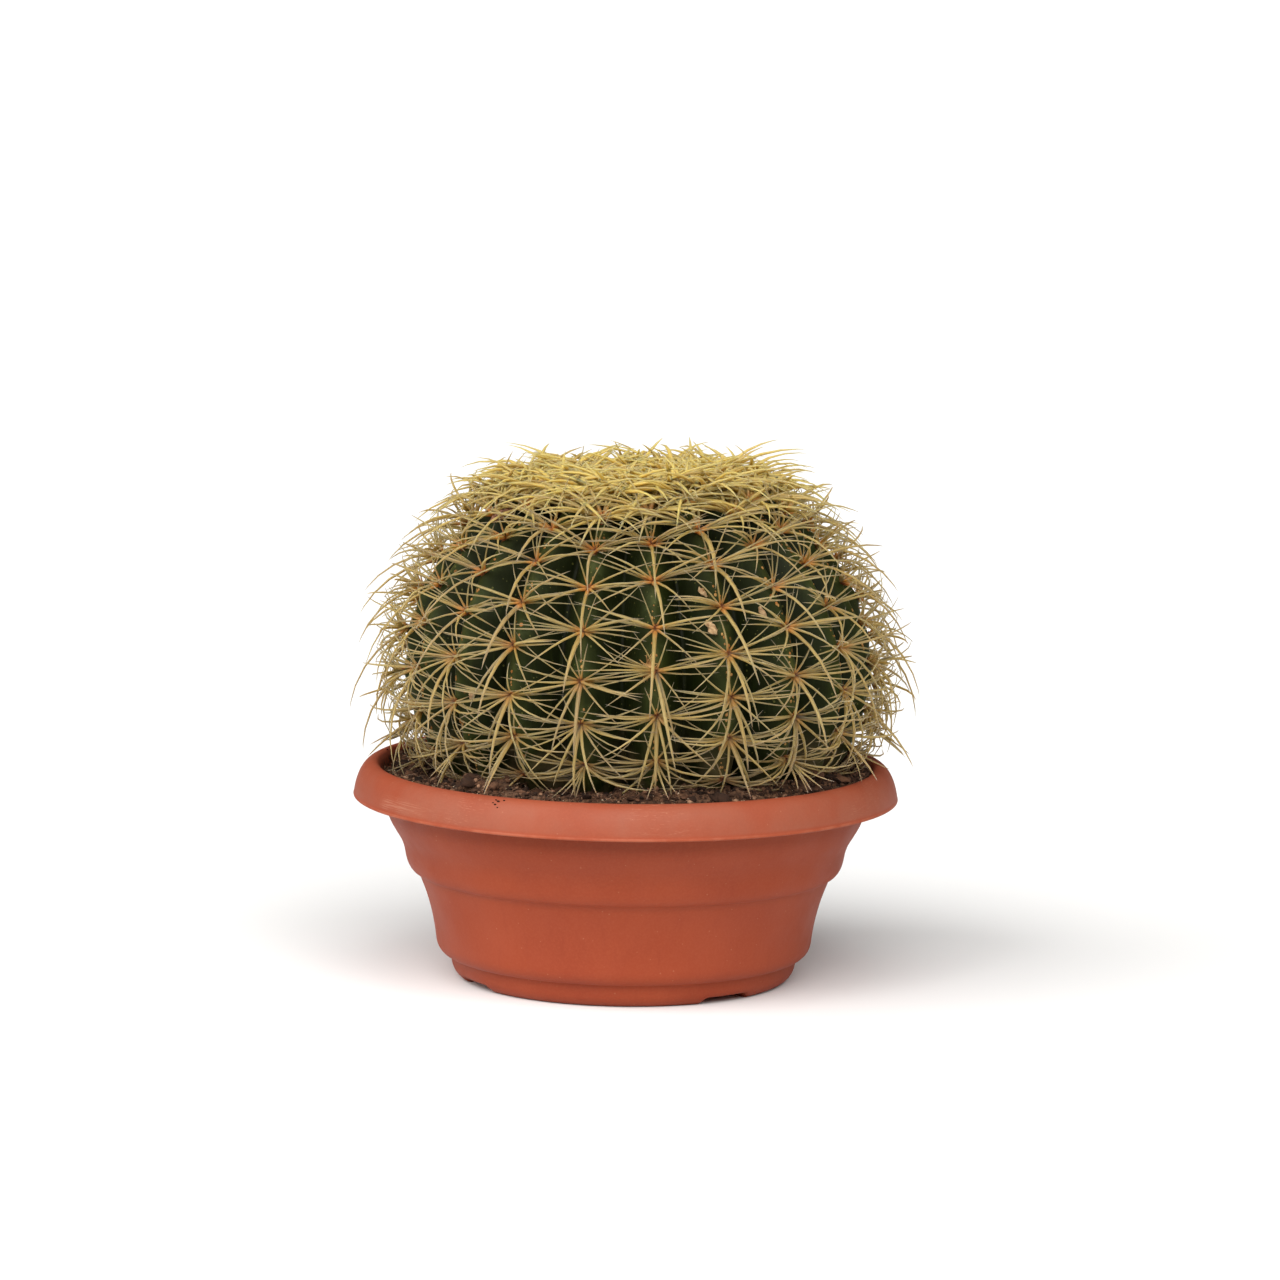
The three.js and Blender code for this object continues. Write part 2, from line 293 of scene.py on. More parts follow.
potLow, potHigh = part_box("pot")
potAxis = Vector(((potLow.x + potHigh.x) / 2, (potLow.y + potHigh.y) / 2, 0))


def makeStudio():
    scene = bpy.context.scene
    data = bpy.data.cameras.new("camera")
    data.sensor_width = 36
    data.lens = studio["pixelsPerMetreAtOne"] * data.sensor_width / studio["framePixels"]
    data.clip_end = 100
    camera = linkObject("camera", data)
    tilt, turn, roll = (math.radians(a) for a in studio["aim"])
    aim = Matrix.Rotation(-turn, 4, "Z") @ Matrix.Rotation(tilt, 4, "X") @ Matrix.Rotation(roll, 4, "Z")
    camera.matrix_world = Matrix.Translation(potAxis + Vector(studio["cameraFromPot"])) @ aim
    scene.camera = camera

    for name, (strength, azimuth, elevation) in studio["lights"].items():
        light = bpy.data.lights.new(name, "SUN")
        light.energy = strength
        light.angle = math.radians(studio["lightBreadth"])
        light.color = studio["lightColor"]
        lamp = linkObject(name, light)
        lamp.rotation_euler = (math.radians(90 - elevation), 0, math.radians(azimuth))

    world = bpy.data.worlds.new("studioWorld")
    world.use_nodes = True
    background = world.node_tree.nodes["Background"]
    background.inputs["Color"].default_value = studio["world"]
    background.inputs["Strength"].default_value = studio["worldStrength"]
    scene.world = world
    scene.view_settings.view_transform = "Standard"

    bm = bmesh.new()
    bmesh.ops.create_grid(bm, x_segments=1, y_segments=1, size=studio["floorSize"] / 2)
    mesh = meshFrom("floor", bm)
    floor = linkObject("floor", mesh)
    material, _, _ = newMaterial("paleFloor", studio["floor"], 1.0, {"Specular IOR Level": 0})
    mesh.materials.append(material)
    print("studio made")


makeStudio()


pot = {
    "steps": 288,
    "notches": (38, 168, 298),  # degrees round from the front
    "notchHalf": 0.0125,
    "notchEdge": 0.0016,
    "notchHeight": 0.0036,
    "sharpEdge": 50,  # degrees
    "drainHoles": 6,
    "drainRadius": 0.005,
    "drainCircle": 0.054,
    "drainSides": 32,
    "underside": 0.0036,
    "floor": 0.0056,
    "footInner": 0.0716,
    "start": (0.0716, 0.0036),
    "spans": [
        ((0.0726, 0.0036), (0.0732, 0.0), (0.0742, 0.0), 4),
        ((0.0786, 0.0),),
        ((0.0820, 0.0), (0.0850, 0.0034), (0.0856, 0.0076), 7),
        ((0.0860, 0.0106),),
        ((0.0861, 0.0113), (0.0863, 0.0116), (0.0871, 0.0117), 3),
        ((0.0899, 0.0120), (0.0926, 0.0142), (0.0933, 0.0184), 7),  # the lower step
        ((0.0941, 0.0260), (0.0962, 0.0376), (0.1012, 0.0492), 10),
        ((0.1017, 0.0506), (0.1021, 0.0529), (0.1036, 0.0533), 4),
        ((0.1066, 0.0538), (0.1084, 0.0576), (0.1091, 0.0622), 7),  # the upper step
        ((0.1096, 0.0655), (0.1108, 0.0690), (0.1126, 0.0716), 5),
        ((0.1154, 0.0760), (0.1179, 0.0800), (0.1187, 0.0840), 5),
        ((0.1198, 0.0900), (0.1216, 0.0960), (0.1226, 0.1003), 4),
        ((0.1234, 0.1036), (0.1252, 0.1054), (0.1270, 0.1042), 5),
        ((0.1302, 0.1016), (0.1324, 0.0972), (0.1330, 0.0914), 5),
        ((0.1331, 0.0909), (0.1333, 0.0906), (0.1340, 0.0906), 3),
        ((0.1346, 0.0906), (0.1351, 0.0908), (0.1351, 0.0912), 4),  # the bead along the rim's edge
        ((0.1351, 0.0917), (0.1349, 0.0919), (0.1348, 0.0923), 3),
        ((0.1342, 0.0973), (0.1318, 0.1057), (0.1266, 0.1071), 14),
        ((0.1256, 0.1075), (0.1240, 0.1076), (0.1231, 0.1068), 6),
        ((0.1220, 0.1057), (0.1213, 0.1040), (0.1209, 0.1020), 5),
        ((0.1152, 0.0810),),
        ((0.1070, 0.0620),),
        ((0.0980, 0.0475),),
        ((0.0880, 0.0170),),
        ((0.0800, 0.0056),),
        ((0.0716, 0.0056),),
    ],
}


potOutline = outlinePoints(pot["start"], pot["spans"])
potHeight = max(point.z for point in potOutline)


potFinish = {
    "color": (140, 56, 30),
    "roughness": 0.6,
    "sockets": {"Specular IOR Level": 0.22},
    "noises": {
        "broad": (22, 3),
        "fine": (900, 2),
        "dusty": (28, 4, 0.6),
        "rubbed": (16, 2),
        "wearAndHighlight": (90, 4),
        "clinging": (420, 5, 0.7),
        "gloss": (35, 3),
    },
    "specks": {"grains": (640, 0.05)},
    "streakShape": (1, 1, 0.12),
    "streaks": (260, 3),
    "scratches": {  # how short they are round the rim, then their noise
        "scratched": (0.02, 1500, 4, 0.7),
        "fineScratched": (0.003, 3000, 3, 0.6),
    },
    "ramps": {"ground": ("broad", (0.3, (139, 57, 31)), (0.7, (147, 63, 35)))},
    "layers": [
        ((160, 78, 50), ("fine", 0.35, 0.75, 0, 0.2)),
        # thin vertical moulding streaks and light grains in the plastic
        ((124, 48, 28), ("streaks", 0.5, 0.8, 0, 0.16)),
        ((180, 116, 86), ("grains", 0, 1, 0, 0.3)),
        # dust dulls the rim, most of all where it slopes down outside
        ((140, 96, 78), ("dusty", 0.25, 0.75, 0.12, 0.45), ("height", 0.0915, 0.094),
         ("radius", 0.122, 0.134, 0.35, 1)),
        # scuffs on the rim, drawn out along it
        ((184, 128, 102), ("scratched", 0.55, 0.66, 0, 0.28), ("rubbed", 0.54, 0.70),
         ("height", 0.0915, 0.094)),
        # a patch of fine scratches at the rim's left front
        ((184, 132, 108), ("angle", -1.12, -1.04), ("angle", -0.76, -0.90), ("height", 0.0925, 0.0945),
         ("height", 0.1015, 0.0970), ("fineScratched", 0.5, 0.66, 0.06, 0.42)),
        # the bead along the rim's lower edge is rubbed a little paler, and this pale line is partly a painted
        # highlight
        ((176, 108, 82), ("height", 0.0924, 0.0920), ("radius", 0.1338, 0.1346),
         ("wearAndHighlight", 0.4, 0.65, 0.1, 0.35)),
        # soil clings to the inner face of the rim
        ((48, 32, 22), ("height", 0.0985, 0.1010), ("height", 0.1062, 0.1035), ("radius", 0.1222, 0.1214),
         ("clinging", 0.42, 0.6)),
    ],
    "rough": ("gloss", 0.3, 0.7, 0.52, 0.66),
    "bumps": [("fine", 0.10, 0.0004), ("streaks", 0.06, 0.0006)],
}


def addPotSources(tree, place, sources):
    # the height, the distance and angle round from the pot's axis, and noises drawn out along them
    fromAxis = addNode(tree, "ShaderNodeVectorMath", {0: place, 1: potAxis}, operation="SUBTRACT").outputs[0]
    parts = addNode(tree, "ShaderNodeSeparateXYZ", {"Vector": fromAxis}).outputs
    flat = addNode(tree, "ShaderNodeCombineXYZ", {"X": parts["X"], "Y": parts["Y"]}).outputs[0]
    radius = addNode(tree, "ShaderNodeVectorMath", {0: flat}, operation="LENGTH").outputs["Value"]
    angle = addMath(tree, "ARCTAN2", parts["X"], addProduct(tree, parts["Y"], -1))
    sources.update(height=parts["Z"], radius=radius, angle=angle)
    streaked = stretch(tree, fromAxis, potFinish["streakShape"])
    sources["streaks"] = addNoise(tree, streaked, *potFinish["streaks"])
    for key, (drawnOut, *values) in potFinish["scratches"].items():
        around = {"X": addProduct(tree, angle, drawnOut), "Y": radius, "Z": parts["Z"]}
        sources[key] = addNoise(tree, addNode(tree, "ShaderNodeCombineXYZ", around).outputs[0], *values)


def addBase(bm):
    # the flat bottom inside the foot ring, with its drainage holes
    loops = [(0, 0, pot["footInner"], pot["steps"])]
    for i in range(pot["drainHoles"]):
        angle = (i + 0.5) * 2 * math.pi / pot["drainHoles"]
        middle = waysAt(angle)[0] * pot["drainCircle"]
        loops.append((middle.x, middle.y, pot["drainRadius"], pot["drainSides"]))
    plate = bmesh.new()
    for x, y, radius, sides in loops:
        middle = Matrix.Translation((x, y, pot["underside"]))
        bmesh.ops.create_circle(plate, segments=sides, radius=radius, matrix=middle)
    bmesh.ops.triangle_fill(plate, edges=plate.edges[:], use_beauty=True)
    raised = bmesh.ops.extrude_face_region(plate, geom=plate.faces[:], use_keep_orig=True)["geom"]
    raised = [e for e in raised if isinstance(e, bmesh.types.BMVert)]
    bmesh.ops.translate(plate, verts=raised, vec=(0, 0, pot["floor"] - pot["underside"]))
    inner = pot["footInner"] - 0.0001
    rim = [f for f in plate.faces if abs(f.normal.z) < 0.5 and f.verts[0].co.xy.length > inner]
    bmesh.ops.delete(plate, geom=rim, context="FACES_ONLY")
    mesh = meshFrom("base", plate)
    bm.from_mesh(mesh)
    bpy.data.meshes.remove(mesh)
    bmesh.ops.remove_doubles(bm, verts=bm.verts, dist=2e-6)
    bmesh.ops.recalc_face_normals(bm, faces=bm.faces)


def makePot():
    bm = bmesh.new()
    turnOutline(bm, potOutline, pot["steps"])
    addBase(bm)
    reach = pot["notchHalf"] + pot["notchEdge"]
    for vert in bm.verts:  # drainage notches: the foot ring is drawn up over a short stretch
        if vert.co.z > pot["notchHeight"] or vert.co.xy.length < pot["footInner"] - 0.001:
            continue
        for degrees in pot["notches"]:
            outward, side = waysAt(math.radians(degrees))
            across = abs(vert.co.dot(side))
            if vert.co.dot(outward) > 0 and across < reach:
                share = clamp((reach - across) / pot["notchEdge"])
                share = share * share * (3 - 2 * share)  # eased at both ends
                vert.co.z = max(vert.co.z, mix(vert.co.z, pot["notchHeight"], share))
    bmesh.ops.translate(bm, verts=bm.verts, vec=potAxis)
    for edge in bm.edges:
        edge.smooth = edge.calc_face_angle(0) < math.radians(pot["sharpEdge"])
    placeObject("potShell", bm, "pot", makeFinish("potPlastic", potFinish, addPotSources))


makePot()


plant = {
    "ribs": 20,
    "firstRib": math.radians(4.2),
    "widest": 0.115,
    "widestZ": 0.1564,
    "halfHeight": 0.103,
    "roundness": 1.89,
    "top": 0.246,
    "dip": 0.004,
    "dipWidth": 0.014,
    "topBlend": 0.003,
    "rootAngle": -75,
    "rootTip": 0.054,
    "rootStep": 0.004,
    "lean": -0.019,
    "grooveDepth": 0.021,
    "grooveFade": 1.3,
    "grooveShape": 1.6,
    "buriedFrom": 0.226,
    "ringStep": 0.0022,
    "buriedRings": 5,
    "perRib": 20,
    "swell": 0.0014,
    "swellWidth": 0.0055,
    "swellFull": 0.07,  # nearer the crown than this the areoles swell less and less
    "swellNarrow": 2.2,
    "ripple": 0.0005,
    "rippleScales": ((70, 1), (260, 0.4)),
}

areoles = {
    "spacing": 0.0214,
    "firstRow": 0.0683,
    "turnPerRib": 0.59,
    "crowding": 0.72,
    "youngRows": 5,
    "lastRow": 0.222,
    "unevenness": 0.0015,
}


def crestAtAngle(angle):
    c = abs(math.cos(angle)) ** (2 / plant["roundness"])
    s = abs(math.sin(angle)) ** (2 / plant["roundness"])
    r = plant["widest"] * c
    if angle < 0:
        return r, plant["widestZ"] - plant["halfHeight"] * s
    rounded = plant["widestZ"] + plant["halfHeight"] * s
    flat = plant["top"] - plant["dip"] * math.exp(-((r / plant["dipWidth"]) ** 2))
    return r, flat - plant["topBlend"] * math.log(1 + math.exp((flat - rounded) / plant["topBlend"]))


def makeCrestLine():
    line = []
    length = 0
    for i in range(801):
        r, z = crestAtAngle(math.radians(90 + (plant["rootAngle"] - 90) * i / 800))
        if line:
            length += math.hypot(r - line[-1][1], z - line[-1][2])
        line.append((length, r, z))
    return line


crestLine = makeCrestLine()
crestLength = crestLine[-1][0]


def crestAt(distance):
    # radius, height, and the way the crest runs and faces, at a distance from the middle of the crown
    low, high = 0, len(crestLine) - 1
    while high - low > 1:
        middle = (low + high) // 2
        if crestLine[middle][0] > distance:
            high = middle
        else:
            low = middle
    (lengthA, rA, zA), (lengthB, rB, zB) = crestLine[low], crestLine[high]
    share = clamp((distance - lengthA) / (lengthB - lengthA))
    run = math.hypot(rB - rA, zB - zA)
    along = ((rB - rA) / run, (zB - zA) / run)
    return mix(rA, rB, share), mix(zA, zB, share), along, (-along[1], along[0])


def placed(r, z, angle):
    lean = plant["lean"] * (z - plant["widestZ"])
    return Vector((r * math.sin(angle) + lean, -r * math.cos(angle), z))


def ribAngle(rib):
    return plant["firstRib"] + rib * 2 * math.pi / plant["ribs"]


def firstAreole(rib):
    return areoles["firstRow"] + areoles["spacing"] * (((areoles["turnPerRib"] * rib + 0.4) % 1) - 0.4)


def makeAreoles():
    found = []
    for rib in range(plant["ribs"]):
        first = firstAreole(rib)
        row = 0
        while first + row * areoles["spacing"] < areoles["lastRow"]:
            uneven = spread(rib, row, 9, areoles["unevenness"])
            found.append((rib, row, first + row * areoles["spacing"] + uneven))
            row += 1
        for row in range(-1, -areoles["youngRows"] - 1, -1):
            found.append((rib, row, first * areoles["crowding"] ** -row))
    return found


allAreoles = makeAreoles()
areolesOfRib = [sorted(a[2] for a in allAreoles if a[0] == rib) for rib in range(plant["ribs"])]


def swellHeight(distance):
    return plant["swell"] * clamp(distance / plant["swellFull"])


def areoleSwell(rib, distance):
    nearest = min(abs(distance - a) for a in areolesOfRib[rib])
    return swellHeight(distance) * math.exp(-((nearest / plant["swellWidth"]) ** 2))


def grooveDepth(r, t):
    return plant["grooveDepth"] * (r / plant["widest"]) ** plant["grooveFade"] * t ** plant["grooveShape"]


skinFinish = {
    "color": (36, 44, 12),
    "roughness": 0.62,
    "sockets": {"Specular IOR Level": 0.12},
    "attributes": ("across", "fromCrown"),  # 0 on a rib's crest and 1 in the groove; metres along the rib
    "noises": {"broad": (45, 4), "bloomy": (110, 5, 0.6), "down": (300, 5, 0.7), "pores": (1500, 2)},
    "specks": {"dots": (520, 0.32), "scars": (300, 0.3)},
    "lineShape": (1, 1, 0.08),
    "lines": (700, 3),
    "downEdge": 0.010,  # how uneven the edge of the crown's fine wool is
    "ramps": {
        # from crest to groove the skin goes from green to near black: partly its own darker flanks, partly
        # painted shade deep in the grooves
        "ground": (
            "across", (0.0, (60, 64, 24)), (0.12, (43, 50, 14)), (0.4, (25, 31, 4)), (1.0, (14, 18, 2)),
        ),
        "downColor": ("down", (0.35, (124, 88, 36)), (0.65, (190, 152, 80))),
    },
    "layers": [
        ((22, 27, 5), ("broad", 0.35, 0.7, 0, 0.55)),
        # a thin bluish bloom in patches near the crests
        ((84, 90, 50), ("bloomy", 0.48, 0.68, 0, 0.3), ("across", 0.5, 0.05)),
        # fine lines down the flanks
        ((40, 50, 12), ("lines", 0.5, 0.75, 0, 0.3)),
        ((104, 102, 50), ("dots", 0, 1, 0, 0.5)),
        # corky scars: orange-brown flecks on the crests, and more cork low down
        ((176, 112, 58), ("scars", 0, 1, 0, 0.85), ("across", 0.3, 0.06)),
        ((112, 96, 66), ("fromCrown", 0.185, 0.222, 0, 0.6), ("broad", 0.42, 0.62)),
        # near the crown fine wool covers the skin between the young areoles
        ("downColor", ("downEdge", 0.067, 0.058)),
    ],
    "rough": ("broad", 0.3, 0.7, 0.5, 0.7),
    "bumps": [("pores", 0.18, 0.0003), ("lines", 0.25, 0.0006)],
}


def addSkinSources(tree, place, sources):
    sources["lines"] = addNoise(tree, stretch(tree, place, skinFinish["lineShape"]), *skinFinish["lines"])
    uneven = addProduct(tree, sources["down"], skinFinish["downEdge"])
    sources["downEdge"] = addMath(tree, "ADD", sources["fromCrown"], uneven)


def makeBody():
    count, buried = plant["buriedRings"], plant["buriedFrom"]
    rings = [mix(buried, crestLength, i / count) for i in range(count, 0, -1)]
    count = round(buried / plant["ringStep"])
    rings += [i / count * buried for i in range(count, 0, -1)]
    distances = [crestLength + plant["rootStep"]] + rings + [0.0]
    points = [Vector((0, 0, plant["rootTip"]))]
    for distance in rings:
        r, z, _, _ = crestAt(distance)
        points.append(Vector((0, -r, z)))
    points.append(Vector((0, 0, crestAt(0)[1])))
    bm = bmesh.new()
    fromCrown = bm.verts.layers.float.new("fromCrown")
    across = bm.verts.layers.float.new("across")
    perRib, columns = plant["perRib"], plant["ribs"] * plant["perRib"]
    turnOutline(bm, points, columns, fromCrown, distances)
    for vert in bm.verts:
        if vert.co.xy.length < 1e-6:
            continue
        distance = vert[fromCrown]
        r, z, _, out = crestAt(distance)
        column = round(math.atan2(vert.co.x, -vert.co.y) / (2 * math.pi) * columns)
        fromCrest = (column + perRib // 2) % perRib - perRib // 2
        rib = round((column - fromCrest) / perRib) % plant["ribs"]
        t = vert[across] = abs(fromCrest) / (perRib / 2)
        angle = plant["firstRib"] + column * 2 * math.pi / columns
        p = placed(r, z, angle)
        wave = sum(plant["ripple"] * share * noise.noise(p * scale) for scale, share in plant["rippleScales"])
        push = wave + areoleSwell(rib, distance) * (1 - t) ** plant["swellNarrow"] - grooveDepth(r, t)
        vert.co = placed(r + out[0] * push, z + out[1] * push, angle)
    placeObject("cactusBody", bm, "cactus", makeFinish("cactusSkin", skinFinish, addSkinSources))


makeBody()


soil = {
    "level": 0.1050,
    "rise": (0.012, -0.008),
    "bump": 0.0007,
    "wall": 0.1214,  # the pot's wall stands at this radius from its axis
    "wallSlope": 0.0036,  # and is this much nearer the axis at the lower edge of the soil that is made
    "middle": 0.080,
    "rings": 56,
    "steps": 600,
    "depth": 0.012,
    "clods": 0.0040,
    "heaps": [  # middle and breadth in degrees round from the front, and height
        (-38, 13, 0.0062), (8, 28, 0.0040), (56, 26, 0.0036), (108, 16, 0.0020), (128, 18, 0.0050),
        (-92, 22, -0.0040), (-62, 10, -0.0016), (-150, 40, -0.0012),
    ],
    "heapedFrom": 0.088,
    "heapedFull": 0.112,
    "clodScale": 105,
    "holes": (90, 3, 0.6, 0.0022),  # scale, how sudden and how rare they are, depth
    "underRim": (0.1135, 0.1185, 0.0012),  # between these radii it sinks to this far under the rim's top
    "pebbles": {  # count, least and greatest size, seed, flatness, tones, smooth, tilt, subdivisions
        "soilCrumbs": (7600, 0.00025, 0.0015, 11, 1.0, (0.0, 0.9), True, 0.7, 1),
        "soilChips": (900, 0.0009, 0.0034, 13, 0.4, (0.0, 0.8), False, 1.3, 1),
        "soilLumps": (130, 0.0016, 0.0044, 15, 0.8, (0.1, 0.92), True, 0.7, 2),
        "soilGrit": (1100, 0.00016, 0.00050, 12, 0.9, (0.9, 1.0), True, 0.7, 1),
    },
    "pebble": {
        "fewBig": 2.2, "long": (0.6, 1.5), "wide": (0.5, 1.1), "flat": (0.5, 1.0), "raised": (-0.1, 0.6),
    },
    "pebbleRough": (1.3, 0.45),  # scale and share
    "edgeGap": 0.001,
    "innermost": 0.085,
    "fibres": 3200,
    "fibreSeed": 14,
    "fibreGap": 0.004,
    "fibreSunk": 0.0003,
    "fibre": {
        "lift": (5, 50), "droop": (30, 90), "length": (0.002, 0.010, 2), "width": (0.00015, 0.0004),
        "thick": 0.0002, "curl": (-0.5, 0.5), "taper": 0.3, "tone": (0.45, 0.95),
    },
    "rimCrumb": (0.7, 0.5, 0.25),  # shares of its size: depth, height, and how far it is raised
    "rimCrumbs": [  # degrees round from the front, radius and size of crumbs that fell on the rim
        (-38.2, 0.1232, 0.0012), (-28.8, 0.1284, 0.0006), (-28.1, 0.1290, 0.0009), (-26.9, 0.1282, 0.0006),
        (-29.2, 0.1298, 0.0005), (-28.5, 0.1304, 0.0007), (-27.8, 0.1312, 0.0005), (-37.6, 0.1242, 0.0008),
        (-24.5, 0.1232, 0.0007), (-12.0, 0.1233, 0.0006), (4.0, 0.1236, 0.0005), (17.0, 0.1240, 0.0006),
        (33.0, 0.1233, 0.0008), (52.0, 0.1235, 0.0007), (74.0, 0.1234, 0.0009), (-58.0, 0.1234, 0.0008),
        (118.0, 0.1235, 0.0008), (156.0, 0.1240, 0.0006), (-104.0, 0.1234, 0.0007), (-147.0, 0.1250, 0.0007),
    ],
}


def soilHeight(x, y):
    x, y = x * 1000, y * 1000
    rough = math.sin(x / 7.3 + 1.1) * math.cos(y / 8.9) + 0.6 * math.sin((x + 1.7 * y) / 5.1)
    return soil["level"] + (soil["rise"][0] * x + soil["rise"][1] * y) / 1000 + soil["bump"] * rough


def soilTop(x, y):
    # the soil as it is seen: heaped against the rim in front and at the right, sunk at the left, cloddy
    p = Vector((x, y, 0))
    fromAxis = math.hypot(x - potAxis.x, y - potAxis.y)
    angle = math.degrees(math.atan2(x - potAxis.x, -(y - potAxis.y)))
    heap = 0
    for middle, breadth, height in soil["heaps"]:
        away = (angle - middle + 180) % 360 - 180
        heap += height * math.exp(-((away / breadth) ** 2))
    heap *= rise(fromAxis, soil["heapedFrom"], soil["heapedFull"])
    clods = noise.fractal(p * soil["clodScale"], 1.0, 2.1, 5) * soil["clods"]
    scale, sudden, rare, depth = soil["holes"]
    holes = depth * clamp(noise.noise(p * scale + Vector((3, 5, 0))) * sudden - rare)
    top = soilHeight(x, y) + heap + clods - holes
    inner, outer, gap = soil["underRim"]
    return mix(top, min(top, potHeight - gap), rise(fromAxis, inner, outer))


soilFinish = {
    "color": (74, 52, 36),
    "roughness": 0.95,
    "sockets": {"Specular IOR Level": 0.25},
    "noises": {"clods": (330, 6, 0.65), "dry": (60, 3)},
    "specks": {"grit": (700, 0.08)},
    # the clods noise that dents the soil also sets its tone: partly the soil's own mixed tones, partly
    # painted shade, darkest in the dents
    "ramps": {"ground": (
        "clods", (0.30, (27, 16, 9)), (0.46, (56, 35, 22)), (0.60, (92, 64, 44)), (0.75, (134, 102, 76)),
    )},
    "layers": [((92, 70, 56), ("dry", 0.5, 0.7, 0, 0.4)), ((190, 172, 146), ("grit", 0, 1))],
    "bumps": [("clods", 0.9, 0.0012)],
}

crumbFinish = {
    "color": (80, 58, 42),
    "roughness": 0.95,
    "sockets": {"Specular IOR Level": 0.25},
    "attributes": ("tone",),
    "noises": {"damp": (900, 3), "dents": (1500, 3)},
    "ramps": {"ground": (
        "tone", (0.0, (24, 14, 8)), (0.4, (60, 38, 25)), (0.75, (104, 72, 52)), (0.9, (150, 114, 88)),
        (1.0, (206, 186, 158)),
    )},
    "layers": [((40, 27, 19), ("damp", 0.4, 0.7, 0, 0.5))],
    "bumps": [("dents", 0.6, 0.0005)],
}


def skinAt(angle, z):
    # how far the skin is from the plant's axis at a height, and the way the crest faces there
    low, high = 0.03, crestLength
    for _ in range(24):
        middle = (low + high) / 2
        if crestAt(middle)[1] > z:
            low = middle
        else:
            high = middle
    r, _, _, out = crestAt(low)
    phase = ((angle - plant["firstRib"]) * plant["ribs"] / (2 * math.pi) + 0.5) % 1 - 0.5
    return r - out[0] * grooveDepth(r, abs(2 * phase)), out


def makeSoil():
    bm = bmesh.new()
    bottom = soil["level"] - soil["depth"]
    points = [Vector((0, 0, bottom)), Vector((0, soil["wallSlope"] - soil["wall"], bottom))]
    for i in range(soil["rings"]):
        share = i / (soil["rings"] - 1)
        points.append(Vector((0, -mix(soil["wall"], soil["middle"], share), soil["level"])))
    points.append(Vector((0, 0, soil["level"])))
    turnOutline(bm, points, soil["steps"])
    bmesh.ops.translate(bm, verts=bm.verts, vec=potAxis)
    for vert in bm.verts:
        if vert.co.z > soil["level"] - 0.001:
            vert.co.z = soilTop(vert.co.x, vert.co.y)
    placeObject("soilBed", bm, "soil", makeFinish("pottingSoil", soilFinish))


def soilSpots(count, seed, margin):
    # places on the soil between the plant and the pot's wall
    dice = random.Random(seed)
    spots = []
    while len(spots) < count:
        angle = dice.uniform(0, 2 * math.pi)
        r = math.sqrt(dice.uniform(soil["innermost"] ** 2, soil["wall"] ** 2))
        x, y = potAxis.x + r * math.sin(angle), potAxis.y - r * math.cos(angle)
        if r > soil["wall"] - margin:
            continue
        if math.hypot(x, y) < skinAt(math.atan2(x, -y), soilHeight(x, y))[0] - soil["edgeGap"]:
            continue
        spots.append((x, y, dice))
    return spots


def scatterPebbles(name, count, least, most, seed, flatness, tones, smooth, tilt, detail):
    # rough pebbles of several sizes, most of them small
    bm = bmesh.new()
    bm.verts.layers.float.new("tone")
    bmesh.ops.create_icosphere(bm, subdivisions=detail, radius=1)
    copies = multiply(bm, count)
    tone = bm.verts.layers.float["tone"]
    shape = soil["pebble"]
    scale, roughness = soil["pebbleRough"]
    for (x, y, dice), verts in zip(soilSpots(count, seed, soil["edgeGap"]), copies):
        size = least + (most - least) * dice.random() ** shape["fewBig"]
        turn = Matrix.Rotation(dice.uniform(0, 6.28), 4, "Z")
        turn = turn @ Matrix.Rotation(dice.uniform(-tilt, tilt), 4, "X")
        long, wide, flat = (dice.uniform(*shape[key]) for key in ("long", "wide", "flat"))
        place = Vector((x, y, soilTop(x, y) + size * flatness * dice.uniform(*shape["raised"])))
        stretched = Matrix.Diagonal((long, wide, flatness * flat, 1)) @ Matrix.Scale(size, 4)
        matrix = Matrix.Translation(place) @ turn @ stretched
        shade = dice.uniform(*tones)
        for vert in verts:
            rough = noise.noise_vector(vert.co * scale * detail + Vector((x, y, size)) * 3000)
            vert.co = matrix @ (vert.co + rough * roughness * math.sqrt(detail))
            vert[tone] = shade
    placeObject(name, bm, "soil", crumbMaterial, smooth)


def rimTop(radius):
    spans = [(a, b) for a, b in zip(potOutline, potOutline[1:]) if min(a.x, b.x) <= radius < max(a.x, b.x)]
    return max(mix(a.z, b.z, (radius - a.x) / (b.x - a.x)) for a, b in spans)


def makeRimCrumbs():
    crumbs = []
    deep, high, raised = soil["rimCrumb"]
    for degrees, radius, size in soil["rimCrumbs"]:
        outward, side = waysAt(math.radians(degrees))
        place = potAxis + outward * radius + Vector((0, 0, rimTop(radius) + size * raised))
        crumbs.append((place, outward * size * deep, side * size, Vector((0, 0, size * high))))
    scatterBlobs("rimCrumbs", crumbs, "soil", crumbMaterial, smooth=False)


def drawHair(dice, start, flat, normal, kind, longer=1):
    # traits are drawn in their kind's order: a pair is a range, and a third number favours its low end
    hair = {"start": start, "flat": flat, "normal": normal}
    for trait, given in kind.items():
        if isinstance(given, tuple):
            low, high, power = (*given, 1)[:3]
            given = low + (high - low) * dice.random() ** power
        hair[trait] = math.radians(given) if trait in ("lift", "droop") else given
    hair["length"] *= longer
    return hair


def makeFibres():
    strands = []
    for x, y, dice in soilSpots(soil["fibres"], soil["fibreSeed"], soil["fibreGap"]):
        flat = waysAt(dice.uniform(0, 2 * math.pi))[1]
        start = Vector((x, y, soilTop(x, y) - soil["fibreSunk"]))
        strands.append(drawHair(dice, start, flat, Vector((0, 0, 1)), soil["fibre"]))
    makeStrands("soilFibres", strands, "soil", crumbMaterial, 3, (0.25, 0.5, 0.75))


strandShape = {
    "taper": 0.6,
    "leastTip": 0.05,
    "footSwell": 0.3,
    "footShare": 0.06,
}


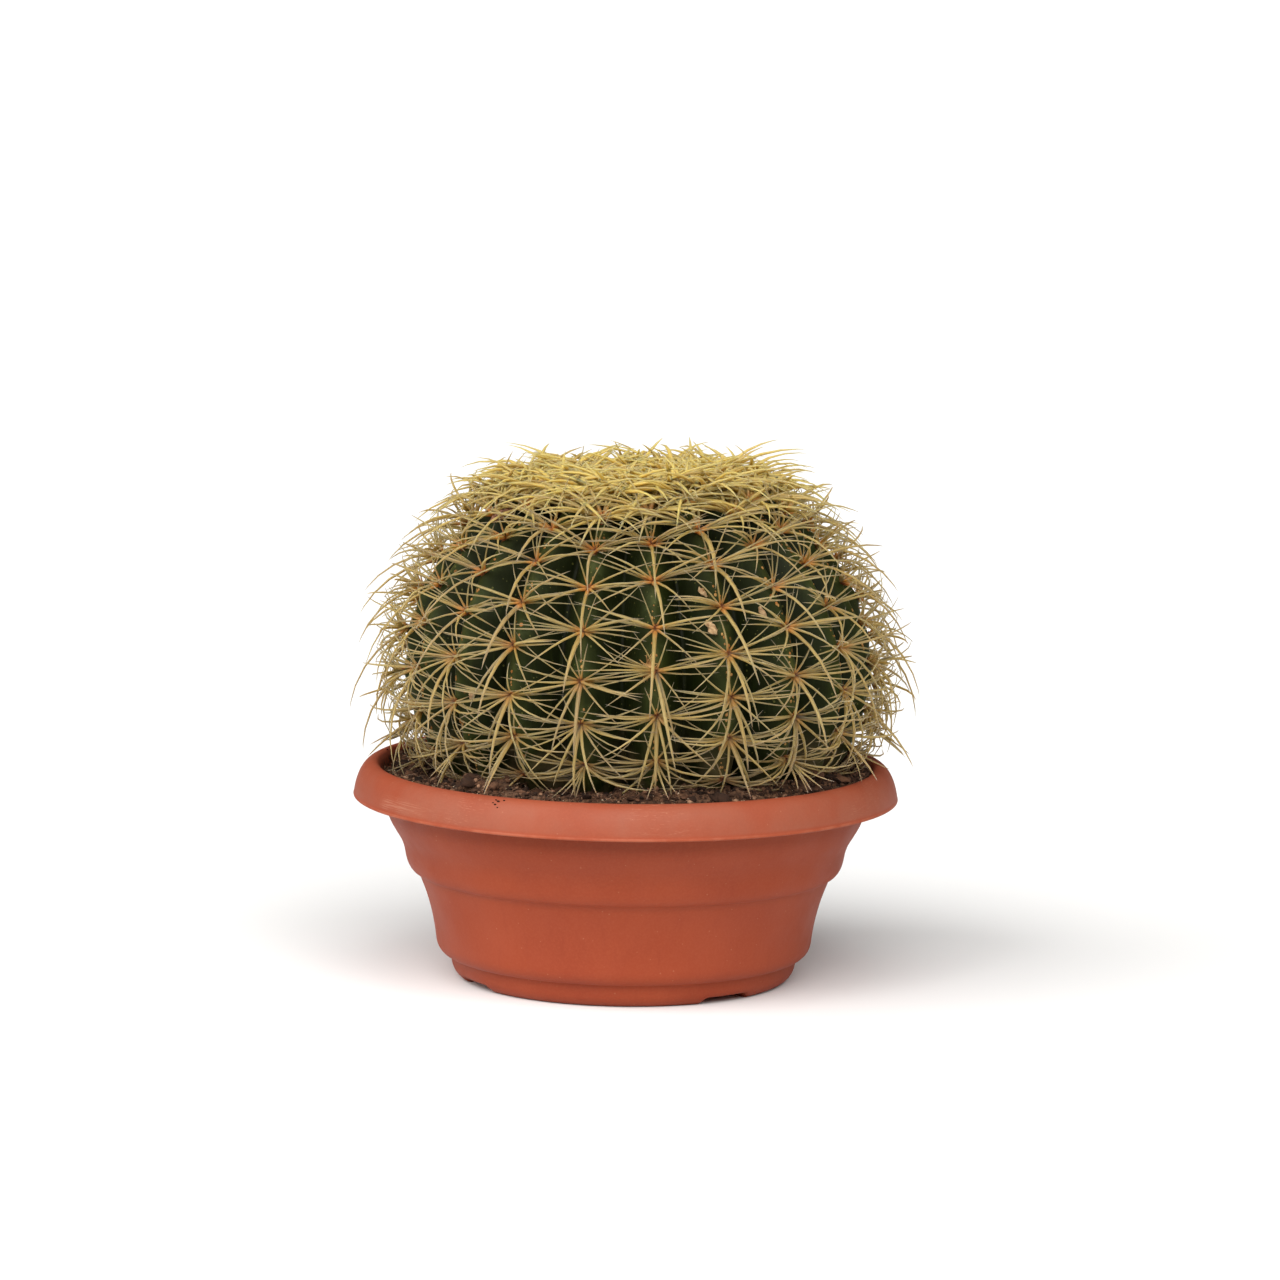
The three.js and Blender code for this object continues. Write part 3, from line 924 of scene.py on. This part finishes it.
def scatterBlobs(name, blobs, node, material, rings=5, roughness=0.35, smooth=True):
    # each blob is a place and the three half axes of a rough pebble
    bm = bmesh.new()
    bmesh.ops.create_uvsphere(bm, u_segments=round(rings * 1.6), v_segments=rings, radius=1)
    for (place, a, b, c), verts in zip(blobs, multiply(bm, len(blobs))):
        for vert in verts:
            x, y, z = vert.co
            vert.co = place + a * x + b * y + c * z
            vert.co += noise.noise_vector(vert.co * 0.8 / c.length) * c.length * roughness
    bmesh.ops.recalc_face_normals(bm, faces=bm.faces)
    placeObject(name, bm, node, material, smooth)


def multiply(bm, count):
    # makes count copies of all that is in bm, by doubling, and gives each copy's vertices
    mesh = bpy.data.meshes.new("template")
    bm.to_mesh(mesh)
    bm.clear()
    bm.from_mesh(mesh)
    bpy.data.meshes.remove(mesh)
    sizes = [len(bm.verts), len(bm.edges), len(bm.faces)]
    made = 1
    while made < count:
        more = min(made, count - made)
        geometry = []
        for elements, size in zip((bm.verts, bm.edges, bm.faces), sizes):
            geometry += elements[:][:more * size]
        bmesh.ops.duplicate(bm, geom=geometry)
        made += more
    verts = bm.verts[:]
    return [verts[i * sizes[0]:(i + 1) * sizes[0]] for i in range(count)]


def makeStrands(name, strands, node, material, sides=6, cuts=(0.06, 0.18, 0.36, 0.56, 0.76, 0.92)):
    bm = bmesh.new()
    for key in ("along", "tone", "youth", "reach"):
        bm.verts.layers.float.new(key)
    bmesh.ops.create_cone(bm, cap_ends=True, segments=sides, radius1=0.5, radius2=0.5, depth=1)
    bmesh.ops.translate(bm, verts=bm.verts, vec=(0, 0, 0.5))
    for share in cuts:
        geometry = bm.verts[:] + bm.edges[:] + bm.faces[:]
        bmesh.ops.bisect_plane(bm, geom=geometry, plane_co=(0, 0, share), plane_no=(0, 0, 1))
    for vert in bm.verts:
        vert[bm.verts.layers.float["along"]] = vert.co.z
    copies = multiply(bm, len(strands))
    layers = bm.verts.layers.float
    rings = {}
    for number, vert in enumerate(copies[0]):
        rings.setdefault(round(vert.co.z, 4), []).append((number, vert.co.x, vert.co.y))
    for strand, verts in zip(strands, copies):
        bendStrand(strand, verts, rings, layers["tone"], layers["youth"], layers["reach"])
    print(name, len(strands), "strands")
    bmesh.ops.recalc_face_normals(bm, faces=bm.faces)
    placeObject(name, bm, node, material)


def arcPoint(strand, share):
    lift, droop, length = strand["lift"], strand["droop"], strand["length"]
    now = lift - droop * share
    p = strand["start"] + strand["flat"] * (length * (math.sin(lift) - math.sin(now)) / droop)
    return p + strand["normal"] * (length * (math.cos(now) - math.cos(lift)) / droop)


def bendStrand(strand, verts, rings, tone, youth, reach):
    flat, normal, length = strand["flat"], strand["normal"], strand["length"]
    side = normal.cross(flat)
    taper = strand.get("taper", strandShape["taper"])
    for share, ring in rings.items():
        middle = arcPoint(strand, share) + side * (strand.get("curl", 0) * length * share * share)
        up = turned(normal, -flat, strand["lift"] - strand["droop"] * share)
        size = max(strandShape["leastTip"], (1 - share) ** taper)
        size *= 1 + strandShape["footSwell"] * math.exp(-((share / strandShape["footShare"]) ** 2))
        across, over = side * (strand["width"] * size), up * (strand["thick"] * size)
        for number, x, y in ring:
            vert = verts[number]
            vert.co = middle + across * x + over * y
            vert[tone] = strand.get("tone", 0.5)
            vert[youth] = strand.get("youth", 0)
            vert[reach] = share * length


makeSoil()
crumbMaterial = makeFinish("soilCrumbs", crumbFinish)
for name, traits in soil["pebbles"].items():
    scatterPebbles(name, *traits)
makeFibres()
makeRimCrumbs()


# one line for each kind of spine on an areole, and the names of the traits it gives: turn is measured in the
# skin's plane from straight down the rib, lift is the angle off the skin, droop is how far the spine bends
# back, curl bends it up the rib, lengths and widths are in millimetres, missing is the share that is left
# out, and a kind grows between first and last, in metres from the crown
spineTraits = (
    "turn", "lift", "droop", "curl", "length", "width", "thick", "missing", "first", "hands", "piece", "last",
)
bothHands = (1, -1)
spineKinds = [dict(zip(spineTraits, traits)) for traits in [
    (0, 50, 60, 0, 46, 2.5, 1.5, 0, 0, (1,), "spinesHanging"),
    (155, 46, 24, 0, 25, 1.0, 1.0, 0, 0, bothHands, "spinesUpright"),
    (99, 38, 38, 0, 35, 1.3, 1.3, 0, 0, bothHands, "spinesAcross"),
    (48, 52, 56, 0, 36, 1.4, 1.4, 0, 0, bothHands, "spinesHanging"),
    (87, 56, 60, 0.06, 41, 1.45, 1.4, 0, 0, bothHands, "spinesAcross"),
    (94, 26, 24, 0.04, 36, 1.25, 1.1, 0, 0.050, bothHands, "spinesLow"),
    (110, 42, 34, 0.05, 30, 1.1, 1.0, 0.35, 0, bothHands, "spinesUpright"),
    (102, 30, 28, 0, 34, 1.2, 1.0, 0.25, 0.050, bothHands, "spinesLow"),
    (80, 50, 60, 0.10, 38, 1.3, 1.2, 0.3, 0.045, bothHands, "spinesAcross"),
    (180, 44, 20, 0, 20, 0.8, 0.8, 0.5, 0.050, (1,), "spinesLow"),
    (85, 28, 30, -0.06, 34, 1.2, 1.0, 0.25, 0.050, bothHands, "spinesLow"),
    (66, 48, 74, 0.15, 38, 1.2, 1.1, 0.15, 0.135, bothHands, "spinesLow"),
    (108, 46, 60, 0.25, 36, 1.1, 1.1, 0.2, 0.135, bothHands, "spinesLow"),
    (22, 50, 84, 0, 42, 1.7, 1.1, 0.2, 0.145, bothHands, "spinesHanging"),
    (26, 44, 50, 0, 38, 1.2, 1.0, 0.1, 0, bothHands, "spinesHanging", 0.075),
    (136, 38, 40, 0, 30, 1.2, 1.0, 0.1, 0, bothHands, "spinesUpright", 0.075),
    (65, 44, 50, 0, 36, 1.2, 1.0, 0.1, 0, bothHands, "spinesAcross", 0.075),
]]

spines = {
    "turnSpread": (8, 26),  # each pair is for an old and a young areole
    "liftSpread": (9, 15),
    "lengthSpread": (0.16, 0.22),
    "curlSpread": (0.12, 0.24),
    "root": 0.0007,
    "groundGap": (-0.0015, 0.0015),  # over the soil, where tips may touch, and over the rim
    "youngWithin": 0.088,
    "youngFull": 0.046,
    "youngLift": {  # this and the length go by the turn of the kind
        0: 30, 48: 31, 65: 32, 80: 33, 87: 33, 94: 34, 99: 34, 102: 36, 110: 38, 155: 48, 180: 54,
    },
    "youngDroop": (34, 84),
    "youngLength": {
        0: 48, 48: 47, 65: 45, 80: 43, 87: 42, 94: 38, 99: 38, 102: 36, 110: 34, 155: 27, 180: 20,
    },
    "youngWidth": (3.0, 3.7),  # in the very middle and at the edge of the crown
    "middleLength": 0.35,  # those in the very middle of the crown are this much shorter
    "middleReach": 0.050,
    "youngThick": 0.7,
    "widthSpread": 0.2,
    "taper": (0.5, 0.68),
    "paleFrom": 0.150,
    "youngErect": 0.55,  # how far the young ones turn from the skin's facing to straight up
    "crownTilt": 4,  # degrees that the young ones are raised at the right and lowered at the left
    "agedFrom": 0.150,  # beyond this distance spines are old, and bend down more and more
    "agedDroop": 30,
    "agedFull": 0.220,
    "bend": (0.85, 0.06, 0.96),  # factor of the droop, gain of the lift, factor of the length
    "bendings": 12,  # a spine that runs into soil or rim is bent up and shortened, at most so many times
    "soilReach": 0.1180,  # from the pot's axis; the rim is beyond it
    "woolReach": 0.032,
    "woolMargin": 0.002,
    "woolThickness": 0.0034,
    "woolFoot": 0.001,
    "woolEdge": 0.003,  # areoles stand in the wool up to this far from its edge
    "woolKinds": 3,  # the youngest areoles have only the first kinds
}


def groundHeight(x, y):
    # the lowest that a spine may come: the wool, the soil or the pot's rim
    if math.hypot(x, y) < spines["woolReach"] + spines["woolMargin"]:
        return plant["top"] + spines["woolThickness"] + spines["groundGap"][1]
    if math.hypot(x - potAxis.x, y - potAxis.y) < spines["soilReach"]:
        return soilTop(x, y) + spines["groundGap"][0]
    return potHeight + spines["groundGap"][1]


def isOverGround(strand):
    points = [arcPoint(strand, share) for share in (0.35, 0.5, 0.65, 0.8, 1)]
    return all(p.z > groundHeight(p.x, p.y) for p in points)


def bentClear(strand):
    droopShare, raised, lengthShare = spines["bend"]
    for _ in range(spines["bendings"]):
        if isOverGround(strand):
            return True
        strand["droop"] *= droopShare
        strand["lift"] += raised
        strand["length"] *= lengthShare
    return isOverGround(strand)


def surfaceFrame(angle, along, out):
    # down the rib, across it and off the skin
    outward, side = waysAt(angle)
    up = Vector((0, 0, 1))
    return outward * along[0] + up * along[1], side, outward * out[0] + up * out[1]


def areoleFrame(rib, distance):
    r, z, along, out = crestAt(distance)
    return placed(r, z, ribAngle(rib)), *surfaceFrame(ribAngle(rib), along, out)


def areoleSeed(areole):
    return areole[0] + plant["ribs"] * (areole[1] + areoles["youngRows"])


def isInWool(areole):
    return areole[2] < spines["woolReach"] - spines["woolEdge"]


def spineStrand(areole, index, kind, hand):
    rib, _, distance = areole
    foot = spines["woolFoot"] if isInWool(areole) else swellHeight(distance) - spines["root"]
    point, down, side, normal = areoleFrame(rib, distance)
    seed = areoleSeed(areole)
    youth = rise(distance, spines["youngWithin"], spines["youngFull"])
    fromMiddle = clamp(distance / spines["middleReach"])
    point += normal * foot
    normal = normal.lerp(Vector((0, 0, 1)), spines["youngErect"] * youth).normalized()
    down = (down - normal * down.dot(normal)).normalized()

    def vary(number, name):
        return spread(seed, index, number, mix(*spines[name], youth))

    def grown(trait, young):
        return mix(kind[trait], spines[young].get(kind["turn"], kind[trait]), youth)

    turn = math.radians(hand * kind["turn"] + vary(1, "turnSpread"))
    lift = grown("lift", "youngLift") + vary(2, "liftSpread")
    lift += youth * spines["crownTilt"] * clamp(point.x / spines["middleReach"], -1, 1)
    length = grown("length", "youngLength") * (1 + vary(3, "lengthSpread"))
    length *= mix(spines["middleLength"], 1, fromMiddle)
    droop = kind["droop"] + spines["agedDroop"] * rise(distance, spines["agedFrom"], spines["agedFull"])
    droop = mix(droop, mix(*spines["youngDroop"], chance(seed, index, 7)), youth)
    broad = mix(*spines["youngWidth"], fromMiddle)
    width = mix(kind["width"], max(kind["width"], broad), youth)
    width *= 1 + spread(seed, index, 4, spines["widthSpread"])
    return {
        "start": point,
        "flat": turned(down, side, turn),
        "normal": normal,
        "lift": math.radians(lift),
        "droop": math.radians(droop),
        "length": length / 1000 - foot,
        "width": width / 1000,
        "thick": width * kind["thick"] / kind["width"] / 1000 * mix(1, spines["youngThick"], youth),
        "curl": hand * kind["curl"] * (1 - youth) + vary(5, "curlSpread"),
        "taper": mix(*spines["taper"], youth),
        "tone": chance(seed, index, 6),
        "youth": 1 - distance / spines["paleFrom"],
    }


spineFinish = {
    "color": (180, 150, 92),
    "roughness": 0.5,
    "sockets": {
        "Specular IOR Level": 0.3,
        "Subsurface Weight": 1.0,
        "Subsurface Scale": 0.006,
        "Subsurface Radius": (1, 0.85, 0.6),
    },
    "attributes": ("tone", "youth", "reach", "along"),
    "noises": {"mottled": (300, 3)},
    "bandsPerMetre": 7000,
    "ramps": {
        "ground": (
            "along", (0.0, (136, 110, 56)), (0.5, (142, 120, 70)), (0.8, (134, 110, 68)),
            (1.0, (112, 86, 54)),
        ),
        "fresh": (
            "along", (0.0, (190, 152, 70)), (0.3, (190, 160, 82)), (0.9, (188, 163, 94)),
            (1.0, (176, 150, 90)),
        ),
    },
    "layers": [
        ("fresh", ("youth", 0.35, 0.70)),
        ((130, 110, 80), ("tone", 0.6, 1.0, 0, 0.5)),
        ((164, 144, 96), ("tone", 0.4, 0.0, 0, 0.4)),
        ((108, 88, 62), ("mottled", 0.5, 0.8, 0, 0.35), ("youth", 0.65, 0.4)),
        # old spines low on the plant are grey-brown
        ((108, 86, 60), ("youth", -0.24, -0.46, 0, 0.65)),
        # the feet glow orange where they leave the areole, red-brown right at the skin
        ((184, 106, 40), ("reach", 0.0092, 0.0018), ("youth", -0.3, 0.55, 0.3, 0.95)),
        ((112, 58, 34), ("reach", 0.0036, 0.0014, 0, 0.85)),
    ],
    "bumps": [("bands", 0.12, 0.0002)],
}


def addSpineSources(tree, place, sources):
    sources["bands"] = addMath(tree, "SINE", addProduct(tree, sources["reach"], spineFinish["bandsPerMetre"]))


def makeSpines():
    pieces = {}
    for areole in allAreoles:
        inWool = isInWool(areole)
        for kindIndex, kind in enumerate(spineKinds[:spines["woolKinds"]] if inWool else spineKinds):
            for handIndex, hand in enumerate(kind["hands"]):
                # the count that seeds a spine: 2 and 3 are the pair across, as in the solids
                index = 2 + handIndex if kindIndex == 2 else kindIndex + 10 * handIndex
                if kindIndex == 1 and (areole[0] + areole[1]) % 2:
                    hand = -hand
                grows = kind["first"] <= areole[2] <= kind.get("last", 1)
                if not grows or chance(areoleSeed(areole), index, 8) < kind["missing"]:
                    continue
                strand = spineStrand(areole, index, kind, hand)
                if inWool or bentClear(strand):
                    pieces.setdefault("crownSpines" if inWool else kind["piece"], []).append(strand)
    spineMaterial = makeFinish("spines", spineFinish, addSpineSources)
    for name, strands in pieces.items():
        makeStrands(name, strands, "crown" if name == "crownSpines" else "cactus", spineMaterial)


makeSpines()


wool = {
    "steps": 96,
    "rings": 20,
    "least": 0.0003,
    "uneven": 0.0012,
    "hairs": 3600,
    "hairSeed": 21,
    "hairSunk": 0.0006,
    "hairsReach": 1.3,  # they grow this much further out than the felt
    "hair": {
        "lift": (35, 80), "droop": (30, 120), "length": (0.004, 0.0095), "width": 0.00034, "thick": 0.00034,
        "curl": (-0.5, 0.5),
    },
    "pads": (0.0024, 0.0014, 0.0007),
    "padSizes": (1.25, 0.85, 0.2),  # at the crown, low on the plant, and how far down that is
    "padHairs": 12,
    "padHair": {"lift": (20, 75), "droop": (20, 80), "length": (0.0018, 0.0036)},
    "padHairFoot": (0.0002, 0.0016),
    "padHairWidth": (0.00022, 0.0004),  # on a plain and on a woolly areole
    "woollyWithin": 0.080,  # nearer the crown than this the areoles are big pale tufts
    "woollyFull": 0.051,
    "woollySize": 3.1,
    "woollyHairs": 42,
    "woollyPale": 0.35,
    "woollyFoot": 2.6,
    "woollyLonger": 2.4,
    "warts": (1, 5),  # corky dots on the crest above each areole
    "wartAbove": (0.0045, 0.0125),
    "wartAside": 0.0014,
    "wartRadius": (0.0003, 0.0008),
    "wartsFrom": 0.04,
}


def makeWoolMaterial(name, dark, light):
    return makeFinish(name, {
        "color": light,
        "roughness": 0.95,
        "sockets": {"Specular IOR Level": 0.2},
        "noises": {"tufts": (420, 5, 0.6)},
        "ramps": {"ground": ("tufts", (0.32, dark), (0.62, light))},
        "bumps": [("tufts", 0.8, 0.001)],
    })


def woolHeight(share):
    # how thick the felt is, from the middle of the crown to its edge
    return spines["woolThickness"] * math.sqrt(max(0.0, 1 - share ** 2))


def makeCrownFelt():
    bm = bmesh.new()
    under, over = [], []
    for i in range(wool["rings"] + 1):
        share = i / wool["rings"]
        r, z, _, out = crestAt(share * spines["woolReach"])
        least, height = wool["least"], wool["least"] + woolHeight(share)
        under.append(Vector((0, -r - out[0] * least, z + out[1] * least)))
        over.insert(0, Vector((0, -r - out[0] * height, z + out[1] * height)))
    turnOutline(bm, under + over[1:], wool["steps"])
    for vert in bm.verts:
        if vert.co.z > crestAt(vert.co.xy.length)[1] + 0.001:
            vert.co.z += wool["uneven"] * noise.fractal(vert.co * 160, 1.0, 2.0, 3)
    bmesh.ops.translate(bm, verts=bm.verts, vec=placed(0, plant["top"], 0) - Vector((0, 0, plant["top"])))
    placeObject("crownFelt", bm, "crown", crownWoolMaterial)


def makeCrownHairs():
    hairs = []
    dice = random.Random(wool["hairSeed"])
    for _ in range(wool["hairs"]):
        angle = dice.uniform(0, 2 * math.pi)
        share = math.sqrt(dice.random()) * wool["hairsReach"]
        r, z, along, out = crestAt(max(spines["woolReach"] * share, 0.0005))
        down, side, normal = surfaceFrame(angle, along, out)
        flat = turned(down, side, dice.uniform(0, 2 * math.pi))
        start = placed(r, z, angle) + normal * max(woolHeight(share) - wool["hairSunk"], 0)
        hairs.append(drawHair(dice, start, flat, normal, wool["hair"]))
    makeStrands("crownHairs", hairs, "crown", crownWoolMaterial, 3, (0.35, 0.7))


def makeAreolePads():
    hairs, pads, warts = ([], []), ([], []), []  # hairs and pads: plain, then pale
    for areole in allAreoles:
        if isInWool(areole):
            continue
        rib, _, distance = areole
        point, down, side, normal = areoleFrame(rib, distance)
        point += normal * swellHeight(distance)
        dice = random.Random(areoleSeed(areole))
        woolly = rise(distance, wool["woollyWithin"], wool["woollyFull"])
        pale = woolly > wool["woollyPale"]
        atCrown, low, lowAt = wool["padSizes"]
        size = mix(mix(atCrown, low, clamp(distance / lowAt)), wool["woollySize"], woolly)
        length, width, height = (size * s for s in wool["pads"])
        pads[pale].append((point, down * length, side * width, normal * height))
        for _ in range(round(mix(wool["padHairs"], wool["woollyHairs"], woolly))):
            flat = turned(down, side, dice.uniform(0, 2 * math.pi))
            start = point + flat * dice.uniform(*wool["padHairFoot"]) * mix(1, wool["woollyFoot"], woolly)
            hair = drawHair(dice, start, flat, normal, wool["padHair"], mix(1, wool["woollyLonger"], woolly))
            hair["width"] = hair["thick"] = mix(*wool["padHairWidth"], woolly)
            hairs[pale].append(hair)
        for _ in range(dice.randint(*wool["warts"])):
            above = distance - dice.uniform(*wool["wartAbove"])
            if above < wool["wartsFrom"]:
                continue
            spot, downHere, _, facing = areoleFrame(rib, above)
            aside = dice.uniform(-wool["wartAside"], wool["wartAside"])
            spot += side * aside + facing * (areoleSwell(rib, above) - 0.0002)
            radius = dice.uniform(*wool["wartRadius"])
            warts.append((spot, downHere * radius * 1.3, side * radius, facing * radius * 0.7))
    materials = padWoolMaterial, crownWoolMaterial
    for kind, material, blobs, strands in zip(("areole", "youngAreole"), materials, pads, hairs):
        scatterBlobs(kind + "Pads", blobs, "cactus", material)
        makeStrands(kind + "Hairs", strands, "cactus", material, 3, (0.4, 0.75))
    scatterBlobs("corkyDots", warts, "cactus", makeFinish("cork", corkFinish))


corkFinish = {
    "color": (170, 124, 70),
    "roughness": 0.9,
    "sockets": {"Specular IOR Level": 0.25},
    "noises": {"mottled": (500, 4), "dents": (1800, 3)},
    "ramps": {"ground": ("mottled", (0.35, (140, 88, 38)), (0.65, (188, 144, 84)))},
    "bumps": [("dents", 0.7, 0.0004)],
}


scraps = {  # each is given by degrees round from the front, height, how far off the skin, and size
    "seed": 31,
    "turn": 0.6,
    "clumps": [(2.4, 0.1700, 0.0020, 0.0033)],
    "clumpCore": 0.8,
    "clumpHairs": 120,
    "clumpHair": {  # the length is a share of the clump's size
        "lift": (50, 85), "droop": (120, 230), "length": (1.4, 2.4), "width": 0.00045, "thick": 0.0003,
        "taper": 0.2, "curl": (-0.3, 0.3),
    },
    "flakes": [
        (18.2, 0.2035, 0.0030, 0.0019), (18.9, 0.1880, 0.0030, 0.0026), (35.5, 0.1930, 0.0030, 0.0020),
        (-46.0, 0.1520, 0.0030, 0.0018), (101.0, 0.1810, 0.0030, 0.0022), (163.0, 0.1650, 0.0030, 0.0026),
        (-128.0, 0.1960, 0.0030, 0.0021), (-152.0, 0.1380, 0.0030, 0.0018),
    ],
    "dried": [
        (-57.0, 0.2300, 0.0080, 0.0034), (-54.0, 0.2270, 0.0100, 0.0026), (84.0, 0.1760, 0.0060, 0.0028),
        (139.0, 0.2200, 0.0080, 0.0030), (-170.0, 0.2260, 0.0080, 0.0026),
    ],
    "shapes": {"flakes": (1.5, 0.8, 0.4), "dried": (1.5, 0.8, 0.6)},  # long, wide and thick, of the size
}


def scrapPlace(degrees, z, off):
    angle = math.radians(degrees)
    r, out = skinAt(angle, z)
    outward, side = waysAt(angle)
    normal = outward * out[0] + Vector((0, 0, 1)) * out[1]
    return placed(r, z, angle) + normal * off, side.cross(normal), side, normal


def makeScraps():
    # dried flower remnants: woolly clumps, papery flakes and dark shrivelled bits caught at the areoles
    dice = random.Random(scraps["seed"])
    hairs, cores = [], []
    for degrees, z, off, size in scraps["clumps"]:
        place, up, side, normal = scrapPlace(degrees, z, off)
        cores.append((place, *(way * size * scraps["clumpCore"] for way in (up, side, normal))))
        for _ in range(scraps["clumpHairs"]):
            flat = turned(side, up, dice.uniform(0, 2 * math.pi))
            start = place + up * dice.uniform(-0.8, 0.8) * size + side * dice.uniform(-0.5, 0.5) * size
            hairs.append(drawHair(dice, start, flat, normal, scraps["clumpHair"], size))
    flakes = {}
    for kind, (long, wide, thick) in scraps["shapes"].items():
        flakes[kind] = []
        for degrees, z, off, size in scraps[kind]:
            place, up, side, normal = scrapPlace(degrees, z, off)
            turn = dice.uniform(-scraps["turn"], scraps["turn"])
            lengthways, sideways = turned(up, side, turn), turned(side, -up, turn)
            axes = lengthways * size * long, sideways * size * wide, normal * size * thick
            flakes[kind].append((place, *axes))
    tan = makeWoolMaterial("woollyScrap", (128, 84, 42), (196, 156, 100))
    scatterBlobs("woollyCores", cores, "cactus", tan, 12)
    makeStrands("woollyHairs", hairs, "cactus", tan, 4)
    beige = makeWoolMaterial("paperyScrap", (140, 100, 62), (204, 172, 130))
    scatterBlobs("paperyFlakes", flakes["flakes"], "cactus", beige, 10, 1.3)
    brown = makeWoolMaterial("driedScrap", (70, 42, 30), (150, 108, 84))
    scatterBlobs("driedBits", flakes["dried"], "cactus", brown, 12, 1.1)


crownWoolMaterial = makeWoolMaterial("crownWool", (176, 146, 78), (226, 204, 142))
padWoolMaterial = makeWoolMaterial("areoleWool", (86, 44, 26), (140, 84, 48))
makeCrownFelt()
makeCrownHairs()
makeAreolePads()
makeScraps()


def writeSizes():
    print("scene made")


writeSizes()
